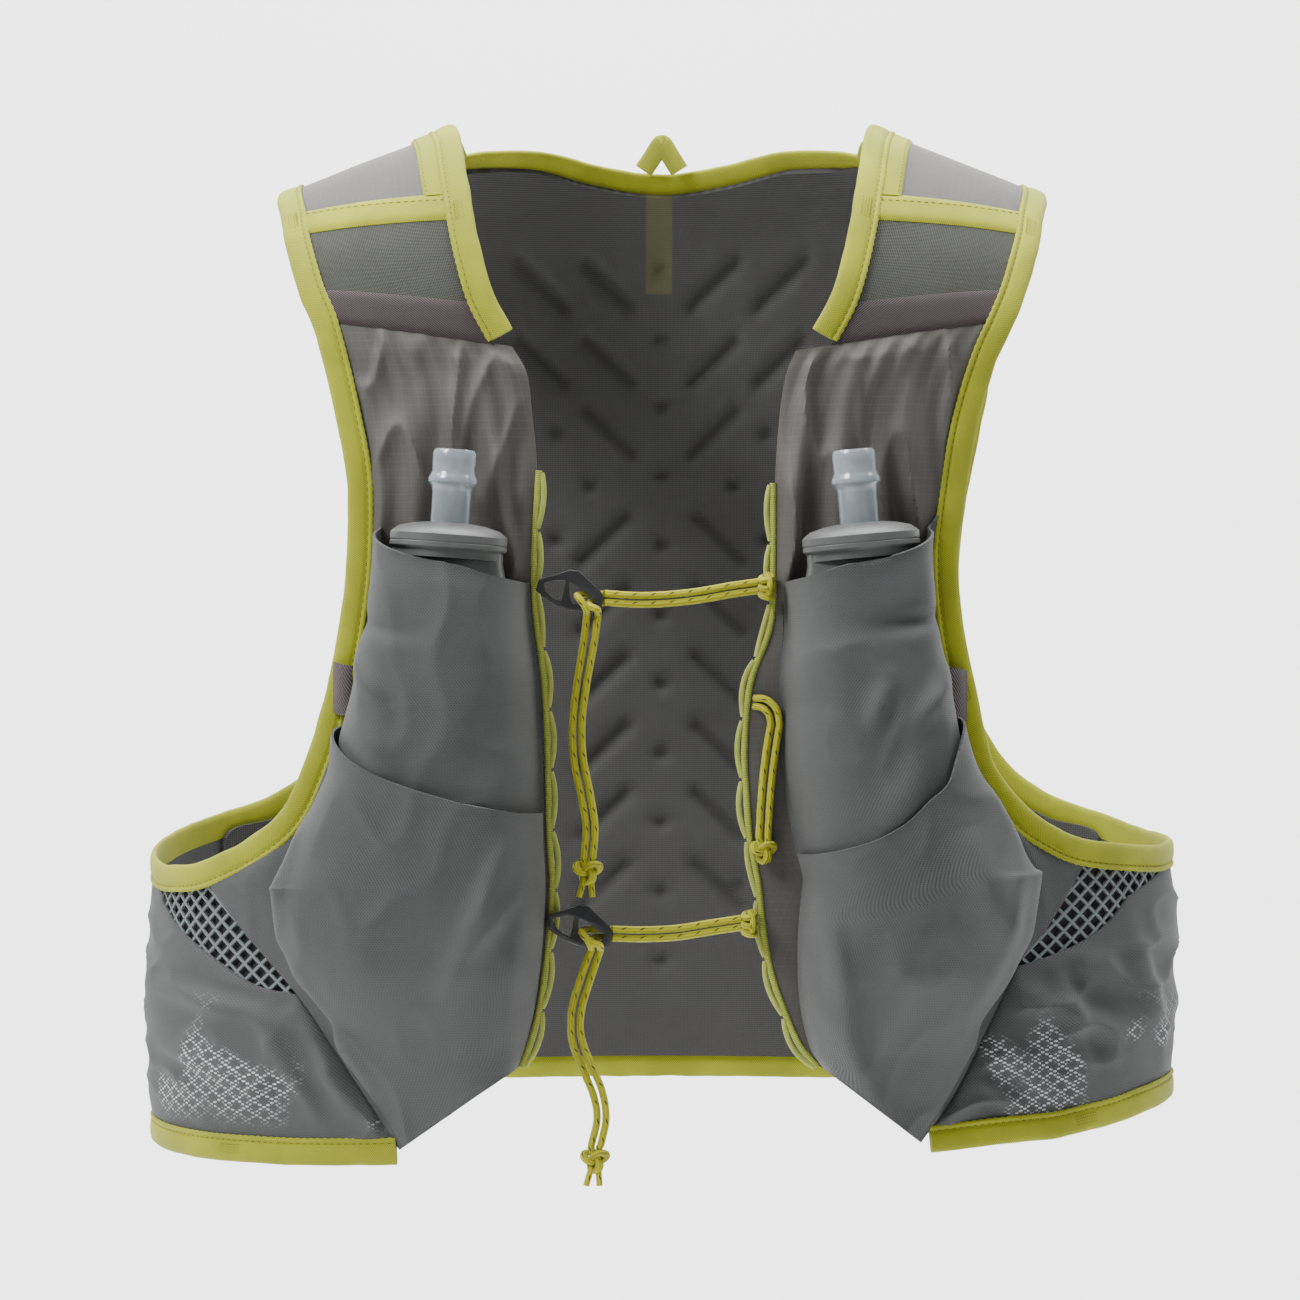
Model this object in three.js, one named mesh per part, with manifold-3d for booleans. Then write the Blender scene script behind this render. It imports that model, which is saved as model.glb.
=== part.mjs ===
// Running hydration vest, shown worn: two chest panels with bottle pockets, a padded mesh back,
// side pockets over net windows, lime edge bindings and two sternum cords.
// Millimetres, +Z up, the wearer looks towards -Y. The origin is the middle of the shoulder seat.
import * as THREE from 'three';
import { mergeVertices } from 'three/addons/utils/BufferGeometryUtils.js';
import Module from 'manifold-3d';

const wasm = await Module();
wasm.setup();

// Body that the vest is worn on
const CHEST_HALF_WIDTH = 220;
const BODY_HEIGHT = 440;
const FRONT_DEPTH = 105;
const BACK_DEPTH = 112;
const CHEST_SQUARENESS = 0.25;
const SHOULDER_START = 110;
const SHOULDER_SLOPE = 0.4;
const NECK_HALF_WIDTH = 84;
const RIDGE_ROUNDING = 0.14;

// Cloth and trim
const CLOTH_WALL = 1.0;
const LAYER_GAP = 0.4;
const SEAM_GAP = 0.3;
const PADDED_WALL = 2.5;
const NET_WALL = 1.2;
const BINDING_WIDTH = 9.5;
const BINDING_THICKNESS = 3.4;
const YOKE_BINDING_WALL = 2.2;
const ELASTIC_WALL = 1.6;
const YOKE_LIFT = 0.2;

// Net windows
const NET_CELL_WIDTH = 8.4;
const NET_CELL_HEIGHT = 9.6;
const NET_STRAND = 1.9;
const NET_RIM = 1.4;

// Flasks
const FLASK_HALF_WIDTH = 27;
const FLASK_HALF_DEPTH = 20;
const FLASK_LENGTH = 146;
const CAP_RADIUS = 24;
const CAP_HEIGHT = 11;
const VALVE_RADIUS = 10;
const VALVE_HEIGHT = 30;
const FLASK_CLEARANCE = 1.2;

// Sternum cords, hooks and ladders
const CORD_DIAMETER = 3;
const CORD_SIDES = 8;
const CORD_Y = -107.4;
const SPARE_Y = -108.2;
const HOOK_LENGTH = 28;
const HOOK_HEIGHT = 17;
const HOOK_THICKNESS = 3.6;
const LADDER_LOOP_PITCH = 23;
const LADDER_STRAND = 1.7;
const LADDER_BULGE = 6;
const LADDER_THICKNESS = 1.6;
const LADDER_LOOP_WALL = 1.4;
const LADDER_LIFT = 0.4;

// Back relief and hanger
const DENT_DEPTH = 1.0;
const DENT_WIDTH = 8;
const DENT_LENGTH = 28;
const TAPE_WIDTH = 12.5;
const TAPE_LENGTH = 46;
const TAPE_WALL = 0.7;
const HANG_LOOP_WIDTH = 22;
const HANG_LOOP_HEIGHT = 13;
const HANG_LOOP_WALL = 2;
const HANG_LOOP_GAP = 3.2;

// Loop tabs
const TAB_WIDTH = 11;
const TAB_WALL = 1.6;
const TAB_GAP = 0.9;
const TAB_FOOT = 3;

// Finishes
const FINISH = {
  lime: { color: 0xb4b84a, roughness: 0.85, metalness: 0 },
  stretchMesh: { color: 0x6a6c6c, roughness: 0.9, metalness: 0 },
  ripstop: { color: 0x77746f, roughness: 0.7, metalness: 0 },
  backMesh: { color: 0x3f403f, roughness: 0.95, metalness: 0 },
  sheerMesh: { color: 0x55584f, roughness: 0.9, metalness: 0 },
  net: { color: 0x5c6666, roughness: 0.8, metalness: 0 },
  plum: { color: 0x574c4d, roughness: 0.85, metalness: 0 },
  ladder: { color: 0xa5b24b, roughness: 0.8, metalness: 0 },
  cord: { color: 0xc6c32a, roughness: 0.75, metalness: 0 },
  hook: { color: 0x26262a, roughness: 0.45, metalness: 0 },
  flask: { color: 0x8f9493, roughness: 0.4, metalness: 0 },
  cap: { color: 0x70706e, roughness: 0.5, metalness: 0 },
  valve: { color: 0xb9c3c8, roughness: 0.25, metalness: 0 },
};

const group = new THREE.Group();

function add(name, geometry, finish) {
  const mesh = new THREE.Mesh(geometry, new THREE.MeshStandardMaterial(FINISH[finish]));
  mesh.name = name;
  group.add(mesh);
  return mesh;
}

// The body form: a squared ellipse in plan that closes in a round shoulder above SHOULDER_START.
function shoulderTop(x) {
  const rounded = Math.hypot(x, NECK_HALF_WIDTH * RIDGE_ROUNDING);
  return SHOULDER_SLOPE * (NECK_HALF_WIDTH - rounded);
}

function bodyValue(x, y, z) {
  const across = x / CHEST_HALF_WIDTH;
  const depth = (y < 0 ? FRONT_DEPTH : BACK_DEPTH) * (1 + CHEST_SQUARENESS * across * across);
  const climb = Math.max(0, (z + SHOULDER_START) / (shoulderTop(x) + SHOULDER_START));
  return (y / depth) ** 2 + across ** 2 + (1 - across ** 2) * climb ** 2 - 1;
}

function bodyGradient(p) {
  const step = 0.02;
  return new THREE.Vector3(
    bodyValue(p.x + step, p.y, p.z) - bodyValue(p.x - step, p.y, p.z),
    bodyValue(p.x, p.y + step, p.z) - bodyValue(p.x, p.y - step, p.z),
    bodyValue(p.x, p.y, p.z + step) - bodyValue(p.x, p.y, p.z - step),
  ).divideScalar(2 * step);
}

// Moves a point onto the body form and then out from it by lift.
function seat(point, lift = 0) {
  const p = point.clone();
  for (let round = 0; round < 8; round += 1) {
    const slope = bodyGradient(p);
    p.addScaledVector(slope, -bodyValue(p.x, p.y, p.z) / slope.lengthSq());
  }
  return p.addScaledVector(bodyGradient(p).normalize(), lift);
}

function normalAt(p) {
  return bodyGradient(p).normalize();
}

// A point on the front, back or shoulder top of the body from shares of its half width and height.
function bodyPoint(side, face, xShare, zShare) {
  const x = side * xShare * CHEST_HALF_WIDTH;
  if (face === 'top') return seat(new THREE.Vector3(x, 0, shoulderTop(x)));
  const z = zShare * BODY_HEIGHT;
  const across = Math.min(0.999, Math.abs(xShare));
  const climb = Math.min(0.999, Math.max(0, (z + SHOULDER_START) / (shoulderTop(x) + SHOULDER_START)));
  const reach = Math.sqrt((1 - across ** 2) * (1 - climb ** 2)) * (1 + CHEST_SQUARENESS * across ** 2);
  return new THREE.Vector3(x, face === 'front' ? -FRONT_DEPTH * reach : BACK_DEPTH * reach, z);
}

const mix = (a, b, share) => a.clone().lerp(b, share);
const blend = (a, b, share) => a + (b - a) * share;

// Value of a table of [place, value] pairs, read between its rows.
function lookUp(pairs, place) {
  const last = pairs.length - 1;
  const row = Math.max(0, pairs.findIndex((_, i) => i === last - 1 || place < pairs[i + 1][0]));
  const [fromPlace, fromValue] = pairs[row];
  const [toPlace, toValue] = pairs[row + 1];
  return blend(fromValue, toValue, THREE.MathUtils.clamp((place - fromPlace) / (toPlace - fromPlace), 0, 1));
}

// Closed solids from point grids
function solid(points, triangles) {
  let volume = 0;
  for (let i = 0; i < triangles.length; i += 3) {
    const [a, b, c] = [points[triangles[i]], points[triangles[i + 1]], points[triangles[i + 2]]];
    volume += a.dot(b.clone().cross(c));
  }
  const faces = volume < 0 ? triangles.toReversed() : triangles;
  const geometry = new THREE.BufferGeometry().setFromPoints(points);
  geometry.setIndex(faces);
  geometry.computeVertexNormals();
  return geometry;
}

// A wall between an inner and an outer grid of points, closed round its rim.
function sheet(rows, columns, pointAt) {
  const points = [];
  const triangles = [];
  const at = (face, i, j) => (face * (rows + 1) + i) * (columns + 1) + j;
  const quad = (a, b, c, d) => triangles.push(a, b, c, a, c, d);
  for (let face = 0; face < 2; face += 1) {
    for (let i = 0; i <= rows; i += 1) {
      for (let j = 0; j <= columns; j += 1) points.push(pointAt(i, j, face));
    }
  }
  for (let i = 0; i < rows; i += 1) {
    for (let j = 0; j < columns; j += 1) {
      quad(at(1, i, j), at(1, i + 1, j), at(1, i + 1, j + 1), at(1, i, j + 1));
      quad(at(0, i, j), at(0, i, j + 1), at(0, i + 1, j + 1), at(0, i + 1, j));
    }
    quad(at(1, i, 0), at(0, i, 0), at(0, i + 1, 0), at(1, i + 1, 0));
    quad(at(1, i + 1, columns), at(0, i + 1, columns), at(0, i, columns), at(1, i, columns));
  }
  for (let j = 0; j < columns; j += 1) {
    quad(at(1, 0, j + 1), at(0, 0, j + 1), at(0, 0, j), at(1, 0, j));
    quad(at(1, rows, j), at(0, rows, j), at(0, rows, j + 1), at(1, rows, j + 1));
  }
  return solid(points, triangles);
}

// A bar through a list of sections with the same number of corners, closed in a ring or capped.
function bar(sections, ring = false) {
  const corners = sections[0].length;
  const points = sections.flat();
  const triangles = [];
  const spans = ring ? sections.length : sections.length - 1;
  for (let i = 0; i < spans; i += 1) {
    const next = ((i + 1) % sections.length) * corners;
    for (let j = 0; j < corners; j += 1) {
      const k = (j + 1) % corners;
      triangles.push(i * corners + j, i * corners + k, next + k, i * corners + j, next + k, next + j);
    }
  }
  if (!ring) {
    const end = (sections.length - 1) * corners;
    for (let j = 1; j < corners - 1; j += 1) {
      triangles.push(0, j + 1, j, end, end + j, end + j + 1);
    }
  }
  return solid(points, triangles);
}

// A flat outline with holes, its corners put in turning order.
function cutShape(outline, holes) {
  const ordered = THREE.ShapeUtils.isClockWise(outline) ? outline.toReversed() : outline;
  const shape = new THREE.Shape(ordered);
  shape.holes.push(...holes.map((hole) => new THREE.Path(hole)));
  return shape;
}

// Directions across a line of seated points, each square to the line and along the body.
function acrossLine(line, hand, ring = false) {
  const count = line.length;
  return line.map((point, i) => {
    const before = line[ring ? (i + count - 1) % count : Math.max(0, i - 1)];
    const after = line[ring ? (i + 1) % count : Math.min(count - 1, i + 1)];
    const along = after.clone().sub(before).normalize();
    return normalAt(point).cross(along).normalize().multiplyScalar(hand);
  });
}

// A flat band that starts a seam gap beside a line of points and lies round the cloth's edge.
function bandBeside(line, hand, width, thickness, ring = false, lift = 0.6) {
  const across = acrossLine(line, hand, ring);
  const sections = line.map((point, i) => {
    const near = point.clone().addScaledVector(across[i], SEAM_GAP);
    const far = point.clone().addScaledVector(across[i], SEAM_GAP + width);
    return [
      seat(near, lift - thickness / 2),
      seat(far, lift - thickness / 2),
      seat(far, lift + thickness / 2),
      seat(near, lift + thickness / 2),
    ];
  });
  return bar(sections, ring);
}

// Shoulder strap, a row for each station from the back seam over the top to the elastic's foot.
// neck is the seam beside the neck binding, arm the seam beside the armhole binding.
const STRAP = [
  { name: 'back seam', face: 'back', neckX: 0.423, neckZ: -0.034, armX: 0.677, armZ: -0.118 },
  { name: 'back', face: 'back', neckX: 0.439, neckZ: -0.023, armX: 0.697, armZ: -0.086 },
  { name: 'top', face: 'top', neckX: 0.45, neckZ: 0, armX: 0.712, armZ: 0 },
  { name: 'front', face: 'front', neckX: 0.43, neckZ: -0.034, armX: 0.705, armZ: -0.082 },
  { name: 'binding top', face: 'front', neckX: 0.409, neckZ: -0.088, armX: 0.692, armZ: -0.101 },
  { name: 'binding foot', face: 'front', neckX: 0.4, neckZ: -0.113, armX: 0.682, armZ: -0.123 },
  { name: 'mesh', face: 'front', neckX: 0.382, neckZ: -0.154, armX: 0.664, armZ: -0.152 },
  { name: 'elastic top', face: 'front', neckX: 0.357, neckZ: -0.195, armX: 0.645, armZ: -0.18 },
  { name: 'elastic foot', face: 'front', neckX: 0.32, neckZ: -0.23, armX: 0.62, armZ: -0.208 },
];
const strapRow = (name) => STRAP.findIndex((row) => row.name === name);

// Chest panels, a row for each station from the elastic's foot down to the tip.
// inner is the centre front edge, outer the armhole seam and then the slanting side seam.
const CHEST = {
  left: [
    { innerX: 0.283, innerZ: -0.235, outerX: 0.62, outerZ: -0.208 },
    { innerX: 0.255, innerZ: -0.261, outerX: 0.596, outerZ: -0.25 },
    { innerX: 0.245, innerZ: -0.3, outerX: 0.573, outerZ: -0.3 },
    { innerX: 0.236, innerZ: -0.352, outerX: 0.552, outerZ: -0.359 },
    { innerX: 0.245, innerZ: -0.427, outerX: 0.552, outerZ: -0.432 },
    { innerX: 0.243, innerZ: -0.482, outerX: 0.564, outerZ: -0.489 },
    { innerX: 0.227, innerZ: -0.545, outerX: 0.591, outerZ: -0.559 },
    { innerX: 0.22, innerZ: -0.605, outerX: 0.632, outerZ: -0.627 },
    { innerX: 0.218, innerZ: -0.659, outerX: 0.686, outerZ: -0.684 },
    { innerX: 0.216, innerZ: -0.7, outerX: 0.768, outerZ: -0.719 },
    { innerX: 0.211, innerZ: -0.736, outerX: 0.87, outerZ: -0.744 },
    { innerX: 0.214, innerZ: -0.773, outerX: 0.805, outerZ: -0.784 },
    { innerX: 0.223, innerZ: -0.818, outerX: 0.691, outerZ: -0.847 },
    { innerX: 0.236, innerZ: -0.859, outerX: 0.623, outerZ: -0.895 },
    { innerX: 0.252, innerZ: -0.889, outerX: 0.555, outerZ: -0.945 },
    { innerX: 0.268, innerZ: -0.911, outerX: 0.495, outerZ: -0.991 },
  ],
  right: [
    { innerX: 0.251, innerZ: -0.239, outerX: 0.62, outerZ: -0.208 },
    { innerX: 0.23, innerZ: -0.266, outerX: 0.588, outerZ: -0.243 },
    { innerX: 0.218, innerZ: -0.309, outerX: 0.55, outerZ: -0.305 },
    { innerX: 0.211, innerZ: -0.364, outerX: 0.527, outerZ: -0.375 },
    { innerX: 0.211, innerZ: -0.432, outerX: 0.514, outerZ: -0.436 },
    { innerX: 0.207, innerZ: -0.495, outerX: 0.523, outerZ: -0.498 },
    { innerX: 0.168, innerZ: -0.552, outerX: 0.55, outerZ: -0.564 },
    { innerX: 0.157, innerZ: -0.614, outerX: 0.586, outerZ: -0.636 },
    { innerX: 0.161, innerZ: -0.659, outerX: 0.655, outerZ: -0.682 },
    { innerX: 0.168, innerZ: -0.7, outerX: 0.727, outerZ: -0.708 },
    { innerX: 0.182, innerZ: -0.736, outerX: 0.805, outerZ: -0.723 },
    { innerX: 0.191, innerZ: -0.777, outerX: 0.732, outerZ: -0.782 },
    { innerX: 0.205, innerZ: -0.818, outerX: 0.67, outerZ: -0.82 },
    { innerX: 0.227, innerZ: -0.852, outerX: 0.609, outerZ: -0.882 },
    { innerX: 0.259, innerZ: -0.889, outerX: 0.55, outerZ: -0.939 },
    { innerX: 0.293, innerZ: -0.91, outerX: 0.486, outerZ: -0.984 },
  ],
};
const LADDER_ROW = 3;
const ARM_CORNER_ROW = 10;
const WINDOW_FOOT_ROW = 12;
const TIP_ROW = 15;

// Armhole seam from the window's corner under the arm, front part, a column set for each side.
const UNDERARM = {
  left: [
    { x: 0.93, z: -0.75 },
    { x: 0.984, z: -0.748 },
  ],
  right: [
    { x: 0.936, z: -0.731 },
    { x: 0.984, z: -0.73 },
  ],
};

// Armhole seam up the back, from the side to the shoulder, the same on both sides.
const ARM_BACK = [
  { x: 0.964, z: -0.722 },
  { x: 0.895, z: -0.709 },
  { x: 0.8, z: -0.693 },
  { x: 0.718, z: -0.668 },
  { x: 0.655, z: -0.632 },
  { x: 0.605, z: -0.58 },
  { x: 0.577, z: -0.511 },
  { x: 0.575, z: -0.432 },
  { x: 0.586, z: -0.375 },
  { x: 0.605, z: -0.323 },
  { x: 0.63, z: -0.261 },
  { x: 0.645, z: -0.216 },
  { x: 0.67, z: -0.164 },
];
const SIDE_SEAM_POINT = 1;

// Back neck seam between the straps, from the strap corner to the middle.
const BACK_NECK = [
  { x: 0.364, z: -0.03 },
  { x: 0.259, z: -0.029 },
  { x: 0.136, z: -0.042 },
  { x: 0, z: -0.05 },
];

// Top edge of each side pocket across the net window, and the hem seam below each of its columns.
const WINDOW_EDGE = {
  left: [
    { x: 0.773, z: -0.839 },
    { x: 0.855, z: -0.816 },
    { x: 0.927, z: -0.791 },
    { x: 0.966, z: -0.768 },
  ],
  right: [
    { x: 0.732, z: -0.811 },
    { x: 0.791, z: -0.8 },
    { x: 0.85, z: -0.782 },
    { x: 0.895, z: -0.757 },
  ],
};
const HEM = {
  left: [
    { face: 'front', x: 0.512, z: -0.983 },
    { face: 'front', x: 0.555, z: -0.984 },
    { face: 'front', x: 0.623, z: -0.985 },
    { face: 'front', x: 0.695, z: -0.986 },
    { face: 'front', x: 0.775, z: -0.986 },
    { face: 'front', x: 0.85, z: -0.986 },
    { face: 'front', x: 0.914, z: -0.985 },
    { face: 'front', x: 0.962, z: -0.983 },
    { face: 'front', x: 0.994, z: -0.98 },
    { face: 'back', x: 0.968, z: -0.974 },
    { face: 'back', x: 0.9, z: -0.966 },
  ],
  right: [
    { face: 'front', x: 0.512, z: -0.971 },
    { face: 'front', x: 0.555, z: -0.969 },
    { face: 'front', x: 0.615, z: -0.966 },
    { face: 'front', x: 0.675, z: -0.964 },
    { face: 'front', x: 0.74, z: -0.962 },
    { face: 'front', x: 0.8, z: -0.957 },
    { face: 'front', x: 0.862, z: -0.952 },
    { face: 'front', x: 0.92, z: -0.945 },
    { face: 'front', x: 0.992, z: -0.937 },
    { face: 'back', x: 0.968, z: -0.939 },
    { face: 'back', x: 0.9, z: -0.948 },
  ],
};

// Stations of one side as points on the body form
function layOutSide(name) {
  const side = name === 'left' ? -1 : 1;
  const point = (face, x, z) => bodyPoint(side, face, x, z);
  const strap = STRAP.map((row) => ({
    neck: point(row.face, row.neckX, row.neckZ),
    arm: point(row.face, row.armX, row.armZ),
  }));
  const chest = CHEST[name].map((row) => ({
    inner: point('front', row.innerX, row.innerZ),
    outer: point('front', row.outerX, row.outerZ),
  }));
  const underarm = UNDERARM[name].map((row) => point('front', row.x, row.z));
  const armBack = ARM_BACK.map((row) => point('back', row.x, row.z));
  const window = WINDOW_EDGE[name].map((row) => point('front', row.x, row.z));
  const hem = HEM[name].map((row) => point(row.face, row.x, row.z));
  const armhole = [
    ...strap.map((row) => row.arm),
    ...chest.slice(1, ARM_CORNER_ROW + 1).map((row) => row.outer),
    ...underarm,
    ...armBack,
  ];
  return { name, side, strap, chest, underarm, armBack, window, hem, armhole };
}

const LEFT = layOutSide('left');
const RIGHT = layOutSide('right');
const SIDES = [LEFT, RIGHT];

// Strap pieces lie between the neck seam and the armhole seam.
function strapPiece(layout, piece, finish, columns, neckInset = 0, width = Infinity) {
  const [name, fromName, toName, wall] = piece;
  const from = strapRow(fromName);
  const to = strapRow(toName);
  const rows = to - from;
  const geometry = sheet(rows, columns, (i, j, face) => {
    let { neck, arm } = layout.strap[from + i];
    const next = layout.strap[i === 0 ? from + 1 : from + i - 1];
    if (i === 0 || i === rows) {
      const trim = SEAM_GAP / 2 / neck.distanceTo(next.neck);
      const armTrim = SEAM_GAP / 2 / arm.distanceTo(next.arm);
      neck = mix(neck, next.neck, trim);
      arm = mix(arm, next.arm, armTrim);
    }
    const span = neck.distanceTo(arm);
    const end = Math.min(1, (neckInset + width) / span);
    const across = blend(neckInset / span, end, j / columns);
    return seat(mix(neck, arm, across), (face - 0.5) * wall + YOKE_LIFT);
  });
  add(`${name}_${layout.name}`, geometry, finish);
}

const YOKE = ['back seam', 'binding top'];
for (const layout of SIDES) {
  const yokeInset = BINDING_WIDTH + SEAM_GAP;
  strapPiece(layout, ['shoulder_yoke', ...YOKE, CLOTH_WALL], 'ripstop', 3, yokeInset);
  strapPiece(layout, ['yoke_binding', ...YOKE, YOKE_BINDING_WALL], 'lime', 1, 0, BINDING_WIDTH);
  strapPiece(layout, ['shoulder_binding', 'binding top', 'binding foot', YOKE_BINDING_WALL], 'lime', 4);
  strapPiece(layout, ['shoulder_mesh', 'binding foot', 'elastic top', CLOTH_WALL], 'sheerMesh', 4);
  strapPiece(layout, ['shoulder_elastic', 'elastic top', 'elastic foot', ELASTIC_WALL], 'plum', 4);
}

// Bottle and stash pockets stand off the chest panel. Places are heights as shares of the body.
const BOTTLE_TOP = [[0, -0.459], [0.18, -0.451], [0.36, -0.442], [0.56, -0.436], [0.76, -0.425],
  [0.9, -0.411], [1, -0.391]];
const STASH_TOP = {
  left: [[0, -0.673], [0.14, -0.667], [0.31, -0.658], [0.57, -0.639], [0.78, -0.617], [1, -0.584]],
  right: [[0, -0.72], [0.28, -0.701], [0.46, -0.682], [0.6, -0.66], [0.74, -0.639], [0.89, -0.595],
    [1, -0.577]],
};
const BOTTLE_FOOT_OVERLAP = 0.05;
const BOTTLE_BULGE = [[-0.52, 1], [-0.46, 0.97], [-0.39, 0.84]];
const STASH_BULGE = [[-0.995, 0.02], [-0.95, 0.14], [-0.9, 0.36], [-0.86, 0.6], [-0.82, 0.84],
  [-0.775, 0.98], [-0.58, 1]];
const POCKET_REACH = [[-0.83, 0.96], [-0.78, 0.83], [-0.74, 0.75], [-0.7, 0.84], [-0.67, 0.92],
  [-0.62, 0.96]];
const POCKET_INSET = {
  left: [[-0.995, 0.01], [-0.39, 0.01]],
  right: [[-0.93, 0.02], [-0.82, 0.1], [-0.7, 0.14], [-0.58, 0.15], [-0.5, 0.06], [-0.43, 0.01]],
};
const POCKET_OUTER_SHARE = 0.985;
const BULGE_POWER = 4;
const BOTTLE_NARROW = 1.07;
const FLASK_STAND_OFF = CAP_RADIUS + FLASK_CLEARANCE;
const POCKET_DEPTH = FLASK_STAND_OFF + FLASK_HALF_DEPTH + FLASK_CLEARANCE + CLOTH_WALL;
const STASH_DEPTH = POCKET_DEPTH + CLOTH_WALL + 2 * FLASK_CLEARANCE;

const roundShare = (j, columns) => (1 - Math.cos((Math.PI * j) / columns)) / 2;

function chestPoint(layout, row, across) {
  const i = Math.min(TIP_ROW - 1, Math.floor(row));
  const share = row - i;
  const inner = mix(layout.chest[i].inner, layout.chest[i + 1].inner, share);
  const outer = mix(layout.chest[i].outer, layout.chest[i + 1].outer, share);
  return mix(inner, outer, across);
}

function rowAtHeight(layout, across, heightShare) {
  let [low, high] = [0, TIP_ROW];
  for (let round = 0; round < 30; round += 1) {
    const middle = (low + high) / 2;
    if (chestPoint(layout, middle, across).z > heightShare * BODY_HEIGHT) low = middle;
    else high = middle;
  }
  return low;
}

// The bulge takes the first columns up to the crease, and the rest lie flat as far as the outer seam.
function pocketPoint(layout, pocket, column, down, lift) {
  const inBulge = roundShare(Math.min(column, BULGE_COLUMNS), BULGE_COLUMNS);
  const onFlat = Math.max(0, (column - BULGE_COLUMNS) / (POCKET_COLUMNS - BULGE_COLUMNS));
  const guess = chestPoint(layout, pocket.rowAt(inBulge, down), inBulge);
  const reach = lookUp(POCKET_REACH, guess.z / BODY_HEIGHT);
  const even = blend(reach * inBulge, 1, onFlat);
  const inset = lookUp(POCKET_INSET[layout.name], guess.z / BODY_HEIGHT);
  const across = blend(inset, POCKET_OUTER_SHARE, even);
  const point = chestPoint(layout, pocket.rowAt(across, down), across);
  const height = point.z / BODY_HEIGHT;
  const fromMiddle = Math.min(1, Math.abs(2 * inBulge - 1) * pocket.narrow);
  const crown = Math.sqrt(1 - fromMiddle ** BULGE_POWER);
  return seat(point, pocket.edgeLift + pocket.depth * lookUp(pocket.bulge, height) * crown + lift);
}

function pocketSheet(layout, pocket, rows) {
  return sheet(rows, POCKET_COLUMNS, (i, j, face) => {
    return pocketPoint(layout, pocket, j, i / rows, (face - 0.5) * CLOTH_WALL);
  });
}

const BOTTLE_EDGE_LIFT = CLOTH_WALL + LAYER_GAP;
const STASH_EDGE_LIFT = 2 * (CLOTH_WALL + 2 * LAYER_GAP);
const CHEST_COLUMNS = 8;
const BULGE_COLUMNS = 10;
const POCKET_COLUMNS = 12;
const BOTTLE_ROWS = 6;
const STASH_ROWS = 9;

for (const layout of SIDES) {
  const chest = sheet(TIP_ROW, CHEST_COLUMNS, (i, j, face) => {
    const row = i === 0 ? 0.02 : i;
    return seat(chestPoint(layout, row, j / CHEST_COLUMNS), (face - 0.5) * CLOTH_WALL);
  });
  add(`chest_panel_${layout.name}`, chest, 'ripstop');

  const stashTop = STASH_TOP[layout.name];
  layout.bottle = {
    edgeLift: BOTTLE_EDGE_LIFT,
    narrow: BOTTLE_NARROW,
    depth: POCKET_DEPTH,
    bulge: BOTTLE_BULGE,
    rowAt: (across, down) => {
      const foot = lookUp(stashTop, across) - BOTTLE_FOOT_OVERLAP;
      return rowAtHeight(layout, across, blend(lookUp(BOTTLE_TOP, across), foot, down));
    },
  };
  layout.stash = {
    edgeLift: STASH_EDGE_LIFT,
    narrow: 1,
    depth: STASH_DEPTH,
    bulge: STASH_BULGE,
    rowAt: (across, down) => {
      return blend(rowAtHeight(layout, across, lookUp(stashTop, across)), TIP_ROW, down);
    },
  };
  const bottle = pocketSheet(layout, layout.bottle, BOTTLE_ROWS);
  const stash = pocketSheet(layout, layout.stash, STASH_ROWS);
  add(`bottle_pocket_${layout.name}`, bottle, 'stretchMesh');
  add(`stash_pocket_${layout.name}`, stash, 'stretchMesh');
}

// Armhole bindings run round each armhole seam, the neck binding up one strap and down the other.
for (const layout of SIDES) {
  const ring = bandBeside(layout.armhole, layout.side, BINDING_WIDTH, BINDING_THICKNESS, true);
  add(`armhole_binding_${layout.name}`, ring, 'lime');
}
const backNeck = (side) => BACK_NECK.map((row) => bodyPoint(side, 'back', row.x, row.z));
const neckLine = [
  ...LEFT.strap.map((row) => row.neck).reverse(),
  ...backNeck(-1),
  ...backNeck(1).reverse().slice(1),
  ...RIGHT.strap.map((row) => row.neck),
];
add('neck_binding', bandBeside(neckLine, -1, BINDING_WIDTH, BINDING_THICKNESS), 'lime');

// Back panel: padded mesh inside a plain outer shell, with the hanger tape between them.
const BACK_TAPE_LIFT = PADDED_WALL / 2 + TAPE_WALL / 2 + 2 * SEAM_GAP;
const BACK_SHELL_LIFT = BACK_TAPE_LIFT + TAPE_WALL / 2 + 2 * SEAM_GAP + CLOTH_WALL / 2;
const BACK_ROWS_BELOW = [-0.77, -0.84, -0.91];
const HEM_MIDDLE = -0.944;

function backRows(layout) {
  const arm = [...layout.armBack.slice(SIDE_SEAM_POINT).reverse()];
  const foot = layout.hem[layout.hem.length - 1];
  const below = BACK_ROWS_BELOW.map((z) => bodyPoint(layout.side, 'back', ARM_BACK[SIDE_SEAM_POINT].x, z));
  return [layout.strap[0].arm, ...arm, ...below, foot];
}
const backLeft = backRows(LEFT);
const backRight = backRows(RIGHT);
const BACK_ROWS = backLeft.length - 1;
const STRAP_COLUMNS = 2;
const topLine = [
  ...[0, 1].map((j) => mix(LEFT.strap[0].arm, LEFT.strap[0].neck, j / STRAP_COLUMNS)),
  LEFT.strap[0].neck,
  ...backNeck(-1),
  ...backNeck(1).reverse().slice(1),
  RIGHT.strap[0].neck,
  ...[1, 0].map((j) => mix(RIGHT.strap[0].arm, RIGHT.strap[0].neck, j / STRAP_COLUMNS)),
];
const BACK_COLUMNS = topLine.length - 1;
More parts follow.
